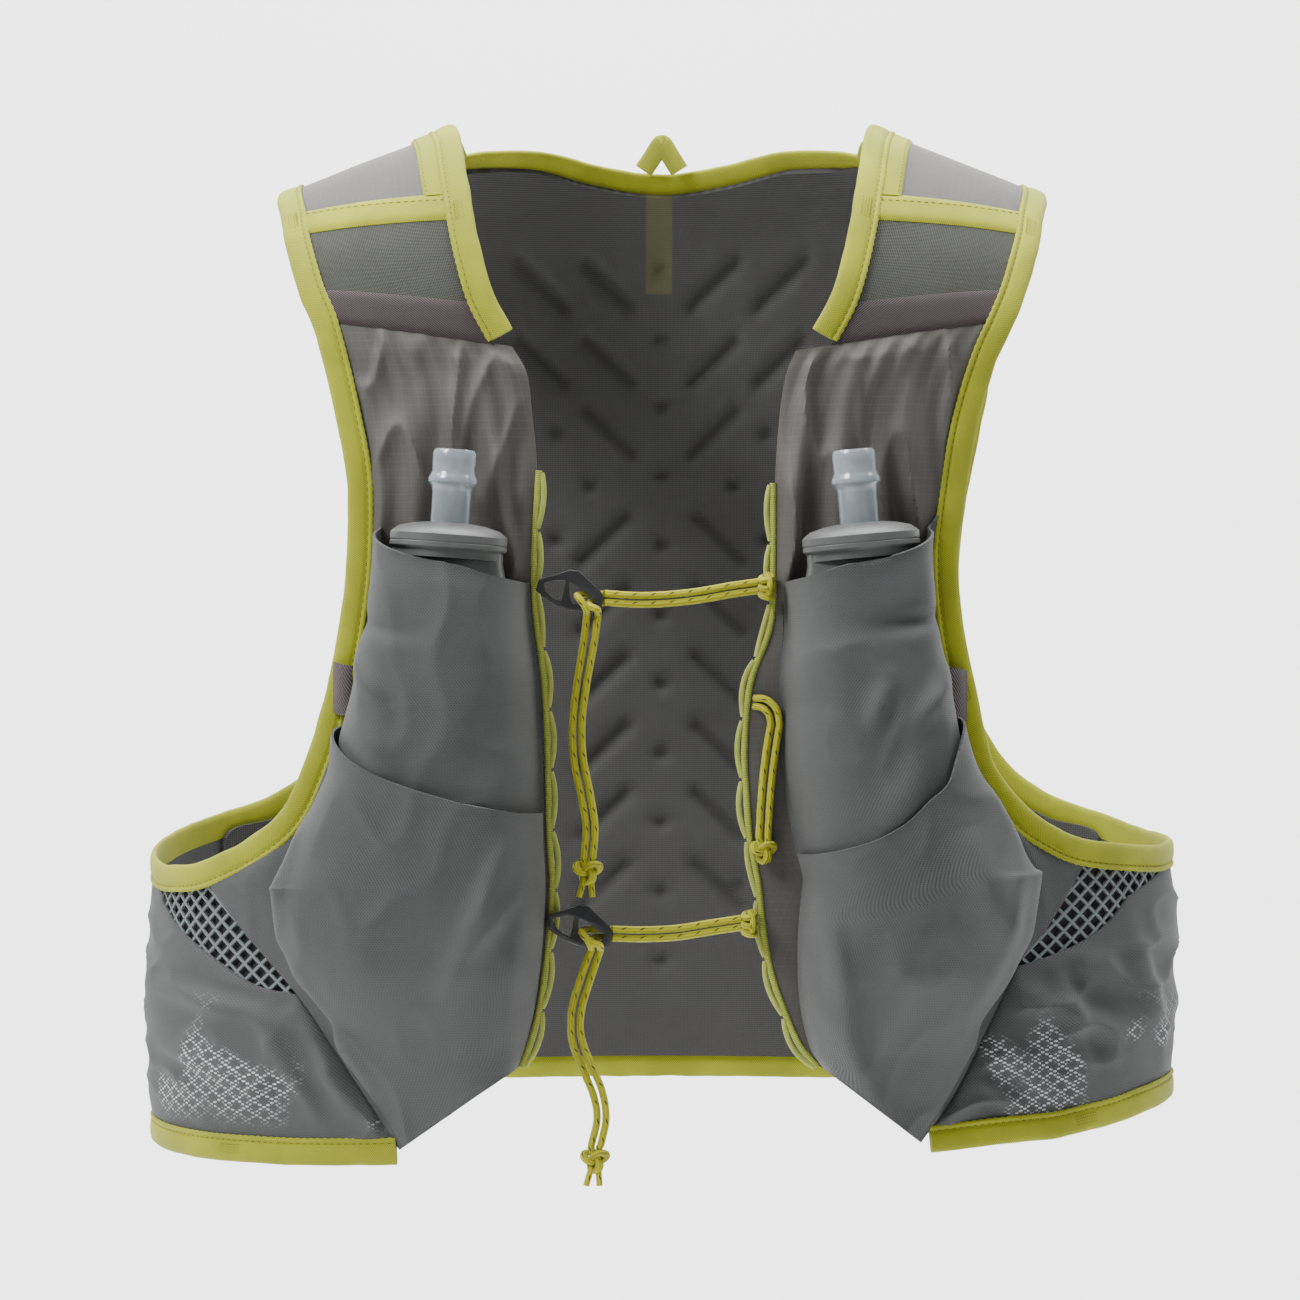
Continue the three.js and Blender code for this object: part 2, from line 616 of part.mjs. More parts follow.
const topShare = (j) => (topLine[j].x - topLine[0].x) / (topLine[BACK_COLUMNS].x - topLine[0].x);
const TOP_FADE_ROWS = 6;

function backPoint(i, j) {
  const across = topShare(j);
  const straight = mix(backLeft[i], backRight[i], across);
  const top = topLine[j].clone().sub(mix(backLeft[0], backRight[0], across));
  const fade = Math.max(0, 1 - i / TOP_FADE_ROWS);
  straight.addScaledVector(top, fade * fade);
  if (i === BACK_ROWS) {
    const bow = 1 - (2 * across - 1) ** 2;
    straight.z = blend(straight.z, HEM_MIDDLE * BODY_HEIGHT, bow);
  }
  return straight;
}

function backSheet(lift, wall) {
  return sheet(BACK_ROWS, BACK_COLUMNS, (i, j, face) => {
    const point = backPoint(i, j);
    if (i === 0) point.lerp(backPoint(1, j), SEAM_GAP / point.distanceTo(backPoint(1, j)));
    return seat(point, lift + (face - 0.5) * wall);
  });
}

// Pressed slots and dots in the padded mesh. x and z are shares, slope turns a slot to a V or its reverse.
const DENTS = [
  { z: -0.139, slots: [0.11, 0.25], slope: 1, dots: [] },
  { z: -0.22, slots: [0.11, 0.25], slope: 1, dots: [] },
  { z: -0.295, slots: [0.11], slope: 1, dots: [0.22] },
  { z: -0.35, slots: [], slope: 1, dots: [0.15] },
  { z: -0.406, slots: [0.12], slope: -1, dots: [0.22] },
  { z: -0.479, slots: [0.12], slope: -1, dots: [] },
  { z: -0.55, slots: [0.12], slope: -1, dots: [] },
  { z: -0.622, slots: [0.12], slope: -1, dots: [] },
  { z: -0.692, slots: [0.12], slope: -1, dots: [] },
  { z: -0.765, slots: [0.12], slope: -1, dots: [0.16] },
];
const DENT_TURN = THREE.MathUtils.degToRad(45);
const DENT_DOT_START = -0.124;
const DENT_DOT_PITCH = 0.072;
const DENT_DOT_COUNT = 11;

function dentCutter(side, xShare, zShare, length, turn) {
  const half = DENT_WIDTH / 2;
  const run = length / 2;
  const flat = run - half * 0.6;
  const corners = [[-run, 0], [-flat, -half], [flat, -half], [run, 0], [flat, half], [-flat, half]];
  const outline = new THREE.Shape(corners.map(([x, y]) => new THREE.Vector2(x, y)));
  const depth = PADDED_WALL + DENT_DEPTH;
  const cutter = new THREE.ExtrudeGeometry(outline, { depth, bevelEnabled: false });
  const spot = bodyPoint(side, 'back', xShare, zShare);
  const out = normalAt(spot);
  const right = new THREE.Vector3(0, 0, 1).cross(out).normalize();
  const up = out.clone().cross(right);
  const basis = new THREE.Matrix4().makeBasis(right, up, out);
  const start = spot.addScaledVector(out, -PADDED_WALL * 1.5);
  const place = new THREE.Matrix4().makeTranslation(start).multiply(basis);
  return cutter.applyMatrix4(place.multiply(new THREE.Matrix4().makeRotationZ(turn)));
}

function toManifold(geometry) {
  const bare = geometry.clone();
  bare.deleteAttribute('normal');
  bare.deleteAttribute('uv');
  const merged = mergeVertices(bare, 1e-3);
  return new wasm.Manifold(new wasm.Mesh({
    numProp: 3,
    vertProperties: Float32Array.from(merged.getAttribute('position').array),
    triVerts: Uint32Array.from(merged.getIndex().array),
  }));
}

function fromManifold(body) {
  const mesh = body.getMesh();
  const geometry = new THREE.BufferGeometry();
  geometry.setAttribute('position', new THREE.BufferAttribute(Float32Array.from(mesh.vertProperties), 3));
  geometry.setIndex(Array.from(mesh.triVerts));
  geometry.computeVertexNormals();
  return geometry;
}

const cutters = [];
for (const row of DENTS) {
  for (const side of [-1, 1]) {
    for (const x of row.slots) {
      cutters.push(dentCutter(side, x, row.z, DENT_LENGTH, side * row.slope * -DENT_TURN));
    }
    for (const x of row.dots) cutters.push(dentCutter(side, x, row.z, DENT_WIDTH + 1, 0));
  }
}
for (let dot = 0; dot < DENT_DOT_COUNT; dot += 1) {
  cutters.push(dentCutter(1, 0, DENT_DOT_START - dot * DENT_DOT_PITCH, DENT_WIDTH + 1, 0));
}
let backBody = toManifold(backSheet(0, PADDED_WALL));
for (const cutter of cutters) backBody = backBody.subtract(toManifold(cutter));
add('back_panel', fromManifold(backBody), 'backMesh');
add('back_shell', backSheet(BACK_SHELL_LIFT, CLOTH_WALL), 'ripstop');

// The tape lies on the back panel's own facets beside its middle column.
const MIDDLE_COLUMN = BACK_COLUMNS / 2;
const TAPE_START = 0.08;
const tapeRun = (k) => backPoint(k, MIDDLE_COLUMN).distanceTo(backPoint(k + 1, MIDDLE_COLUMN));
const TAPE_END_ROW = 1 + Math.min(0.95, (TAPE_LENGTH - tapeRun(0)) / tapeRun(1));
const tape = sheet(2, 2, (i, j, face) => {
  const row = [TAPE_START, 1, TAPE_END_ROW][i];
  const below = Math.min(Math.floor(row), 1);
  const lift = BACK_TAPE_LIFT + (face - 0.5) * TAPE_WALL;
  const facet = (k, column) => seat(backPoint(k, column), lift);
  const onRow = (k) => {
    const middle = facet(k, MIDDLE_COLUMN);
    const beside = facet(k, MIDDLE_COLUMN + j - 1);
    return mix(middle, beside, j === 1 ? 0 : TAPE_WIDTH / 2 / middle.distanceTo(beside));
  };
  return mix(onRow(below), onRow(below + 1), row - below);
});
add('hanger_tape', tape, 'lime');

// Side pockets, net windows and the hem that joins them to the back
for (const layout of SIDES) {
  const seamFoot = mix(layout.chest[TIP_ROW - 1].outer, layout.chest[TIP_ROW].outer, 0.5);
  const front = [seamFoot];
  for (let row = TIP_ROW - 1; row >= WINDOW_FOOT_ROW; row -= 1) front.push(layout.chest[row].outer);
  const under = [layout.underarm[layout.underarm.length - 1], ...layout.armBack.slice(0, 2)];
  const top = [...front, ...layout.window, ...under];
  const gapAcross = acrossLine(top, layout.side);
  const pocketColumns = top.length - 1;
  const pocketRows = 5;
  const pocket = sheet(pocketRows, pocketColumns, (i, j, face) => {
    const upper = top[j].clone();
    if (j < front.length) upper.addScaledVector(gapAcross[j], -SEAM_GAP);
    const lower = layout.hem[j].clone();
    if (j === pocketColumns) {
      upper.lerp(top[j - 1], (2 * SEAM_GAP) / top[j].distanceTo(top[j - 1]));
      lower.lerp(layout.hem[j - 1], (2 * SEAM_GAP) / lower.distanceTo(layout.hem[j - 1]));
    }
    const slack = Math.sin((Math.PI * i) / pocketRows) * 2;
    return seat(mix(upper, lower, i / pocketRows), slack + (face - 0.5) * CLOTH_WALL);
  });
  add(`side_pocket_${layout.name}`, pocket, 'stretchMesh');
  layout.netOutline = [
    ...front.slice(-1),
    ...layout.window,
    ...layout.underarm.slice(0, -1).reverse(),
    layout.chest[ARM_CORNER_ROW].outer,
    layout.chest[ARM_CORNER_ROW + 1].outer,
  ];
}

const hemLine = [
  ...LEFT.hem,
  ...Array.from({ length: BACK_COLUMNS - 1 }, (_, k) => seat(backPoint(BACK_ROWS, k + 1))),
  ...[...RIGHT.hem].reverse(),
];
add('hem_binding', bandBeside(hemLine, 1, BINDING_WIDTH, BINDING_THICKNESS), 'lime');

// Net windows: a flat pattern in turn angle and height, cut through with diamonds.
const NET_TURN_RADIUS = 150;

function turnOf(point) {
  const angle = Math.asin(Math.min(1, Math.abs(point.x) / CHEST_HALF_WIDTH));
  return new THREE.Vector2(angle * NET_TURN_RADIUS, point.z);
}

function insetOutline(outline, amount) {
  const area = THREE.ShapeUtils.area(outline);
  const count = outline.length;
  return outline.map((point, i) => {
    const before = outline[(i + count - 1) % count];
    const after = outline[(i + 1) % count];
    const first = point.clone().sub(before).normalize();
    const second = after.clone().sub(point).normalize();
    const inward = (way) => new THREE.Vector2(-way.y, way.x).multiplyScalar(Math.sign(area));
    const shift = inward(first).add(inward(second));
    const reach = amount / Math.max(0.35, shift.lengthSq() / 2);
    return point.clone().addScaledVector(shift, reach);
  });
}

function inside(outline, point) {
  let crossings = 0;
  outline.forEach((from, i) => {
    const to = outline[(i + 1) % outline.length];
    const straddles = from.y > point.y !== to.y > point.y;
    const meetX = from.x + ((point.y - from.y) / (to.y - from.y)) * (to.x - from.x);
    if (straddles && point.x < meetX) crossings += 1;
  });
  return crossings % 2 === 1;
}

for (const layout of SIDES) {
  const outline = insetOutline(layout.netOutline.map(turnOf), SEAM_GAP);
  const field = insetOutline(outline, NET_RIM);
  const holes = [];
  const halfWidth = (NET_CELL_WIDTH - NET_STRAND) / 2;
  const halfHeight = (NET_CELL_HEIGHT - NET_STRAND) / 2;
  const box = new THREE.Box2().setFromPoints(outline);
  for (let row = 0; box.min.y + (row * NET_CELL_HEIGHT) / 2 < box.max.y; row += 1) {
    const y = box.min.y + (row * NET_CELL_HEIGHT) / 2;
    const shift = row % 2 ? NET_CELL_WIDTH / 2 : 0;
    for (let x = box.min.x + shift; x < box.max.x; x += NET_CELL_WIDTH) {
      const corners = [[halfWidth, 0], [0, halfHeight], [-halfWidth, 0], [0, -halfHeight]];
      const diamond = corners.map(([dx, dy]) => new THREE.Vector2(x + dx, y + dy));
      if (diamond.every((corner) => inside(field, corner))) holes.push(diamond);
    }
  }
  const flat = new THREE.ExtrudeGeometry(cutShape(outline, holes), { depth: NET_WALL, bevelEnabled: false });
  const place = flat.getAttribute('position');
  for (let i = 0; i < place.count; i += 1) {
    const across = Math.sin(place.getX(i) / NET_TURN_RADIUS);
    const spot = bodyPoint(layout.side, 'front', across, place.getY(i) / BODY_HEIGHT);
    spot.addScaledVector(normalAt(spot), place.getZ(i) - NET_WALL / 2);
    place.setXYZ(i, spot.x, spot.y, spot.z);
  }
  add(`side_net_${layout.name}`, layout.side < 0 ? turnedOver(flat) : flat, 'net');
}

// A mirrored shape has its triangles turned round again.
function turnedOver(geometry) {
  const place = geometry.getAttribute('position');
  for (let i = 0; i < place.count; i += 3) {
    const [a, b] = [i + 1, i + 2].map((k) => new THREE.Vector3().fromBufferAttribute(place, k));
    place.setXYZ(i + 1, b.x, b.y, b.z);
    place.setXYZ(i + 2, a.x, a.y, a.z);
  }
  return geometry;
}

// Hanging loop of folded tape over the middle of the neck binding
const HANG_LOOP = [[-0.5, 0], [-0.04, 1], [0.08, 1], [0.5, 0], [0.1, 0], [0.06, 0.5], [-0.04, 0.5],
  [-0.06, 0]];
const neckMiddle = bodyPoint(1, 'back', 0, BACK_NECK[BACK_NECK.length - 1].z);
const neckOut = normalAt(neckMiddle);
const neckUp = new THREE.Vector3(1, 0, 0).cross(neckOut);
const loopFoot = seat(neckMiddle.clone().addScaledVector(neckUp, BINDING_WIDTH + HANG_LOOP_GAP));
const loopShape = new THREE.Shape(
  HANG_LOOP.map(([x, z]) => new THREE.Vector2(x * HANG_LOOP_WIDTH, z * HANG_LOOP_HEIGHT)),
);
const hangLoop = new THREE.ExtrudeGeometry(loopShape, { depth: HANG_LOOP_WALL, bevelEnabled: false });
const loopOut = normalAt(loopFoot);
const loopUp = loopOut.clone().cross(new THREE.Vector3(-1, 0, 0));
hangLoop.applyMatrix4(new THREE.Matrix4().makeBasis(new THREE.Vector3(-1, 0, 0), loopUp, loopOut));
hangLoop.translate(loopFoot.x, loopFoot.y, loopFoot.z);
add('hang_loop', hangLoop, 'lime');

// Daisy-chain ladders along the centre front edges: a sewn strand with open loops beside it
const LOOP_STEPS = 6;

function alongLine(line, across, distance) {
  let left = distance;
  for (let i = 0; i < line.length - 1; i += 1) {
    const span = line[i].distanceTo(line[i + 1]);
    if (left <= span || i === line.length - 2) {
      const share = Math.min(1, left / span);
      return { point: mix(line[i], line[i + 1], share), out: mix(across[i], across[i + 1], share) };
    }
    left -= span;
  }
  return { point: line[0], out: across[0] };
}

for (const layout of SIDES) {
  const line = layout.chest.slice(LADDER_ROW).map((row) => row.inner);
  const across = acrossLine(line, -layout.side);
  const length = line.slice(1).reduce((sum, point, i) => sum + point.distanceTo(line[i]), 0);
  const loops = Math.floor(length / LADDER_LOOP_PITCH);
  const pitch = (length - LADDER_STRAND) / loops;
  const section = (distance, near) => {
    const { point, out } = alongLine(line, across, distance);
    const corners = [[near, -1], [near + LADDER_STRAND, -1], [near + LADDER_STRAND, 1], [near, 1]];
    return corners.map(([reach, face]) => {
      const spot = point.clone().addScaledVector(out, SEAM_GAP + reach);
      return seat(spot, LADDER_LIFT + (face * LADDER_LOOP_WALL) / 2);
    });
  };
  const strand = bandBeside(line, -layout.side, LADDER_STRAND, LADDER_THICKNESS, false, LADDER_LIFT);
  let ladder = toManifold(strand);
  for (let loop = 0; loop < loops; loop += 1) {
    const sections = [];
    for (let step = 0; step <= LOOP_STEPS; step += 1) {
      const share = step / LOOP_STEPS;
      const bulge = LADDER_STRAND / 2 + (LADDER_BULGE - LADDER_STRAND) * Math.sin(Math.PI * share);
      sections.push(section(LADDER_STRAND + loop * pitch + share * (pitch - LADDER_STRAND), bulge));
    }
    ladder = ladder.add(toManifold(bar(sections)));
  }
  add(`edge_ladder_${layout.name}`, fromManifold(ladder), 'ladder');
}

// Loop tabs on the bottle pockets' outer flanks, at places counted in the pocket's own rows
const TAB_ROWS = [3.4, 4, 4.8];
for (const layout of SIDES) {
  const tab = sheet(TAB_ROWS.length - 1, 1, (i, j, face) => {
    const down = TAB_ROWS[i] / BOTTLE_ROWS;
    const foot = pocketPoint(layout, layout.bottle, BULGE_COLUMNS, down, CLOTH_WALL / 2);
    const brow = pocketPoint(layout, layout.bottle, BULGE_COLUMNS - 1, down, CLOTH_WALL / 2);
    const up = brow.clone().sub(foot).normalize();
    const out = new THREE.Vector3(up.y, -up.x, 0).multiplyScalar(-layout.side);
    const reach = j === 0 ? TAB_FOOT : TAB_FOOT + TAB_WIDTH;
    return foot.addScaledVector(up, reach).addScaledVector(out, TAB_GAP + face * TAB_WALL);
  });
  add(`loop_tab_${layout.name}`, tab, 'plum');
}

// Soft flasks stand in the bottle pockets with their caps above the pocket edges.
const FLASK = {
  left: { x: 0.398, tilt: 4 },
  right: { x: 0.369, tilt: 5 },
};
const FLASK_TOP = -0.428;
const FLASK_PROFILE = [[0, -1], [0.55, -0.99], [0.85, -0.94], [1, -0.82], [1, -0.27], [0.96, -0.13],
  [0.84, -0.05], [0.8, 0], [0, 0]];
const CAP_PROFILE = [[0, 0], [1, 0], [1, 0.55], [0.86, 0.8], [0.45, 1], [0, 1]];
const VALVE_PROFILE = [[0, 0], [0.8, 0], [0.81, 0.5], [1, 0.55], [1, 0.62], [0.87, 0.67], [0.92, 0.9],
  [0.7, 1], [0, 1]];

function turned(profile, radius, height, sides) {
  return new THREE.LatheGeometry(profile.map(([r, h]) => new THREE.Vector2(r * radius, h * height)), sides)
    .rotateX(Math.PI / 2);
}

for (const layout of SIDES) {
  const { x, tilt } = FLASK[layout.name];
  const chest = bodyPoint(layout.side, 'front', x, FLASK_TOP);
  const stand = new THREE.Group();
  const set = (name, geometry, finish, height) => {
    const mesh = add(`${name}_${layout.name}`, geometry, finish);
    mesh.position.z = height;
    stand.add(mesh);
  };
  const body = turned(FLASK_PROFILE, FLASK_HALF_WIDTH, FLASK_LENGTH, 14);
  body.scale(1, FLASK_HALF_DEPTH / FLASK_HALF_WIDTH, 1);
  set('flask_body', body, 'flask', 0);
  set('flask_cap', turned(CAP_PROFILE, CAP_RADIUS, CAP_HEIGHT, 18), 'cap', SEAM_GAP);
  const valve = turned(VALVE_PROFILE, VALVE_RADIUS, VALVE_HEIGHT, 12);
  set('flask_valve', valve, 'valve', CAP_HEIGHT + 2 * SEAM_GAP);
  stand.position.set(chest.x, chest.y - FLASK_STAND_OFF, chest.z);
  stand.rotation.y = THREE.MathUtils.degToRad(-layout.side * tilt);
  group.add(stand);
}

// Hooks: flat moulded toggles with an eye for the ladder loop and a slot for the cord
const HOOK_OUTLINE = [[0, -0.06], [0.05, 0.21], [0.29, 0.32], [0.5, 0.44], [0.64, 0.41], [0.79, 0.18],
  [0.96, -0.09], [1, -0.24], [0.96, -0.56], [0.79, -0.6], [0.5, -0.54], [0.29, -0.41], [0.1, -0.2]];
const HOOK_EYE = [[0.12, 0.11], [0.29, 0.18], [0.43, 0.18], [0.41, -0.09], [0.37, -0.32], [0.25, -0.25],
  [0.14, -0.06]];
const HOOK_SLOT = [[0.5, 0.12], [0.61, 0.06], [0.73, -0.13], [0.87, -0.25], [0.84, -0.42], [0.54, -0.39],
  [0.49, -0.18]];
const HOOKS = [
  { name: 'upper', x: -52.2, z: -203.5 },
  { name: 'lower', x: -48.5, z: -341.5 },
];
const hookPoints = (pairs) => pairs.map(([x, z]) => new THREE.Vector2(x * HOOK_LENGTH, z * HOOK_HEIGHT));
for (const hook of HOOKS) {
  const shape = cutShape(hookPoints(HOOK_OUTLINE), [hookPoints(HOOK_EYE), hookPoints(HOOK_SLOT)]);
  const plate = new THREE.ExtrudeGeometry(shape, { depth: HOOK_THICKNESS, bevelEnabled: false });
  plate.rotateX(Math.PI / 2).translate(hook.x, CORD_Y + HOOK_THICKNESS / 2, hook.z);
  add(`hook_${hook.name}`, plate, 'hook');
}

// Cord routes: points placed by hand in millimetres, across and up, in the plane y of each cord
const CORDS = [
  {
    name: 'chest_cord_upper_a',
    y: CORD_Y,
    route: [[-23.7, -205.8], [-12, -206.6], [0, -206.4],
      [14, -205], [28, -202.6], [39.3, -201]],
  },
  {
    name: 'chest_cord_upper_b',
    y: CORD_Y,
    route: [[-23.7, -209.3], [-12, -210.1], [0, -209.9],
      [14, -208.5], [28, -206.1], [39.3, -204.5]],
  },
  {
    name: 'chest_cord_lower_a',
    y: CORD_Y,
    route: [[-20.5, -344], [-8, -344.3], [6, -343.6],
      [20, -341.4], [32.3, -339.6]],
  },
  {
    name: 'chest_cord_lower_b',
    y: CORD_Y,
    route: [[-20.5, -347.5], [-8, -347.8], [6, -347.1],
      [20, -344.9], [32.3, -343.1]],
  },
  {
    name: 'tail_upper_a',
    y: CORD_Y,
    route: [[-31.2, -214.3], [-32.6, -226], [-35.2, -242], [-37, -258],
      [-36.6, -274], [-33.6, -289], [-31.6, -302], [-32.4, -314.6]],
  },
  {
    name: 'tail_upper_b',
    y: CORD_Y,
    route: [[-26.6, -214.3], [-28.4, -227], [-31.3, -243], [-33.2, -258],
      [-32.8, -273], [-29.9, -288], [-27.9, -302], [-28.8, -314.6]],
  },
  {
    name: 'tail_lower_a',
    y: CORD_Y,
    route: [[-29.4, -352.3], [-33.4, -363], [-37.2, -376], [-37.4, -389],
      [-33.2, -401], [-28.6, -412], [-27, -422], [-29.5, -433.4]],
  },
  {
    name: 'tail_lower_b',
    y: CORD_Y,
    route: [[-25.6, -352.3], [-29.6, -364], [-33.4, -377], [-33.6, -388],
      [-29.5, -399.5], [-24.9, -410.5], [-23.3, -422], [-25.6, -433.4]],
  },
  {
    name: 'spare_cord_a',
    y: SPARE_Y,
    route: [[44.6, -259], [43, -268], [41.4, -280],
      [40.4, -292], [39.6, -306.6]],
  },
  {
    name: 'spare_cord_b',
    y: SPARE_Y,
    route: [[48.2, -259], [46.6, -269], [45, -281],
      [44, -293], [43.2, -306.6]],
  },
];
const CORD_STEP = 8;
for (const { name, y, route } of CORDS) {
  const path = new THREE.CatmullRomCurve3(route.map(([x, z]) => new THREE.Vector3(x, y, z)));
  const section = new THREE.Shape(
    Array.from({ length: CORD_SIDES }, (_, k) => {
      const angle = (2 * Math.PI * k) / CORD_SIDES;
      return new THREE.Vector2(Math.cos(angle), Math.sin(angle)).multiplyScalar(CORD_DIAMETER / 2);
    }),
  );
  const steps = Math.ceil(path.getLength() / CORD_STEP);
  add(name, new THREE.ExtrudeGeometry(section, { steps, extrudePath: path, bevelEnabled: false }), 'cord');
}

// Knots: half sizes across, deep and high
const KNOTS = [
  { name: 'ladder_knot_upper', x: 42.6, y: -109, z: -202.8, across: 3, deep: 3.4, high: 6 },
  { name: 'ladder_knot_lower', x: 35.6, y: -109, z: -341.4, across: 3, deep: 3.4, high: 6 },
  { name: 'tail_knot_upper', x: -30.8, y: -107.4, z: -320, across: 5.4, deep: 4, high: 5 },
  { name: 'tail_knot_lower', x: -27.8, y: -107.4, z: -438.8, across: 5.2, deep: 4, high: 5 },
  { name: 'spare_knot', x: 41.6, y: -108.4, z: -311.6, across: 4.6, deep: 3.6, high: 4.6 },
];
for (const knot of KNOTS) {
  const ball = new THREE.IcosahedronGeometry(1, 1).scale(knot.across, knot.deep, knot.high);
  add(knot.name, ball.translate(knot.x, knot.y, knot.z), 'cord');
}

export default group;
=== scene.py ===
"""Running hydration vest: cloth, bindings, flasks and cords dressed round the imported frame.

Metres, +Z up, the wearer looks towards -Y. The origin is the middle of the shoulder seat.
"""
import logging
import math
from dataclasses import dataclass, field
from enum import Enum
from typing import Any, Callable, Iterable, Sequence

import bmesh
import bpy
import numpy as np
from mathutils import Matrix, Vector, noise


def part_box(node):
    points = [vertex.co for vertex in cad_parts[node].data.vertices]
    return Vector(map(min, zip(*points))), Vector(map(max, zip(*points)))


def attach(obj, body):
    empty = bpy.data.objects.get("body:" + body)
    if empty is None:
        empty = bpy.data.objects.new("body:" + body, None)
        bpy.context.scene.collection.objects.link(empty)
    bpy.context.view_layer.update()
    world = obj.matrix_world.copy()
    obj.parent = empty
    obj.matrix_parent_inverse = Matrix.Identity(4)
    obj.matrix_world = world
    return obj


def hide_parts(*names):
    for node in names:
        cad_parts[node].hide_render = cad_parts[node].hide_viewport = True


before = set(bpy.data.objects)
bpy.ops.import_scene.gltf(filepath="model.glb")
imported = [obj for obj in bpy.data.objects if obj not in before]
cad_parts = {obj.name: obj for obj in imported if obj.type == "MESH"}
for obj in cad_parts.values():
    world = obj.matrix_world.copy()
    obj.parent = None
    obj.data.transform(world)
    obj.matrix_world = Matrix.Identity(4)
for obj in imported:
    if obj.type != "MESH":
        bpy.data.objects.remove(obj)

LOG = logging.getLogger("vest")
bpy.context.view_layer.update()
MM = 0.001
BODY = "root"
Grid = np.ndarray


class Value:
    """A shader socket that takes part in Python arithmetic."""

    def __init__(self, shader: "Shader", socket: bpy.types.NodeSocket) -> None:
        """Keeps the socket and the shader that adds its nodes."""
        self.shader = shader
        self.socket = socket

    def maths(self, operation: str, *others: "Value | float") -> "Value":
        """Adds a Math node.

        Args:
            operation: The Math node's operation.
            others: Its second and third values.

        Returns:
            The node's result.
        """
        inputs = dict(enumerate((self, *others)))
        return self.shader.node("ShaderNodeMath", {"operation": operation}, inputs)

    def __add__(self, other: "Value | float") -> "Value":
        """self + other."""
        return self.maths("ADD", other)

    def __sub__(self, other: "Value | float") -> "Value":
        """self - other."""
        return self.maths("SUBTRACT", other)

    def __rsub__(self, other: float) -> "Value":
        """other - self."""
        return self.maths("MULTIPLY_ADD", -1.0, other)

    def __mul__(self, other: "Value | float") -> "Value":
        """self * other."""
        return self.maths("MULTIPLY", other)

    def __truediv__(self, other: "Value | float") -> "Value":
        """self / other."""
        return self.maths("DIVIDE", other)

    def wave(self, pitch: float) -> "Value":
        """A sine of this length with one wave for each pitch."""
        return (self * (2 * math.pi / pitch)).maths("SINE")

    def size(self) -> "Value":
        """The absolute value."""
        return self.maths("ABSOLUTE")

    def part(self) -> "Value":
        """The part after the decimal point."""
        return self.maths("FRACT")

    def between(self, low: float, high: float) -> "Value":
        """0 below low and 1 above high, with a smooth step between them."""
        settings = {"interpolation_type": "SMOOTHSTEP", "clamp": True}
        return self.shader.node("ShaderNodeMapRange", settings, {0: self, 1: low, 2: high})


class Shader:
    """One node material and the calls that fill it."""

    def __init__(self, name: str) -> None:
        """Starts a material with a Principled shader and its output."""
        self.material = bpy.data.materials.new(name)
        self.material.use_nodes = True
        self.tree = self.material.node_tree
        self.tree.nodes.clear()
        self.surface = self.tree.nodes.new("ShaderNodeBsdfPrincipled")
        self.output = self.tree.nodes.new("ShaderNodeOutputMaterial")
        self.tree.links.new(self.surface.outputs[0], self.output.inputs[0])

    def node(self, kind: str, settings: dict[str, Any], inputs: dict[Any, Any], out: Any = 0) -> Value:
        """Adds one node.

        Args:
            kind: The node's type.
            settings: Properties that are set before its sockets.
            inputs: Values or links for its sockets, by name or number.
            out: Name or number of the output to return.

        Returns:
            The chosen output.
        """
        made = self.tree.nodes.new(kind)
        for name, setting in settings.items():
            setattr(made, name, setting)
        for key, given in inputs.items():
            self.feed(made.inputs[key], given)
        return Value(self, made.outputs[out])

    def feed(self, socket: bpy.types.NodeSocket, given: Any) -> None:
        """Links or sets one socket."""
        if isinstance(given, Value):
            self.tree.links.new(given.socket, socket)
        else:
            socket.default_value = given

    def axes(self, source: Value) -> tuple[Value, Value, Value]:
        """The three numbers of a vector."""
        split = self.tree.nodes.new("ShaderNodeSeparateXYZ")
        self.tree.links.new(source.socket, split.inputs[0])
        return tuple(Value(self, output) for output in split.outputs)

    def cloth(self) -> tuple[Value, Value, Value]:
        """Lengths along and across the piece, in metres, from its own UV map."""
        return self.axes(self.node("ShaderNodeUVMap", {"uv_map": "cloth"}, {}))

    def place(self) -> Value:
        """The point on the piece in the frame, in metres."""
        return self.node("ShaderNodeTexCoord", {}, {}, "Object")

    def noise(self, scale: float, detail: float = 2.0, stretch: Sequence[float] = (1, 1, 1)) -> Value:
        """Smooth noise over the frame, from 0 to 1."""
        scaled = self.node("ShaderNodeVectorMath", {"operation": "MULTIPLY"}, {0: self.place(), 1: stretch})
        return self.node("ShaderNodeTexNoise", {}, {"Vector": scaled, "Scale": scale, "Detail": detail})

    def blend(self, share: "Value | float", first: Any, second: Any) -> Value:
        """A colour between two others."""
        inputs = {0: share, 6: first, 7: second}
        return self.node("ShaderNodeMix", {"data_type": "RGBA"}, inputs, 2)

    def dress(self, inputs: dict[str, Any], height: "Value | None" = None, depth: float = 0.0003) -> None:
        """Feeds the Principled shader, with a bump from height."""
        if height is not None:
            bump = {"Height": height, "Distance": depth, "Strength": 1.0}
            inputs = {**inputs, "Normal": self.node("ShaderNodeBump", {}, bump)}
        for key, given in inputs.items():
            self.feed(self.surface.inputs[key], given)


def colour(red: int, green: int, blue: int) -> tuple[float, float, float, float]:
    """A screen colour from 0 to 255 as a linear one."""
    shares = [level / 255 for level in (red, green, blue)]
    linear = [share / 12.92 if share < 0.039 else ((share + 0.055) / 1.055) ** 2.4 for share in shares]
    return (*linear, 1)


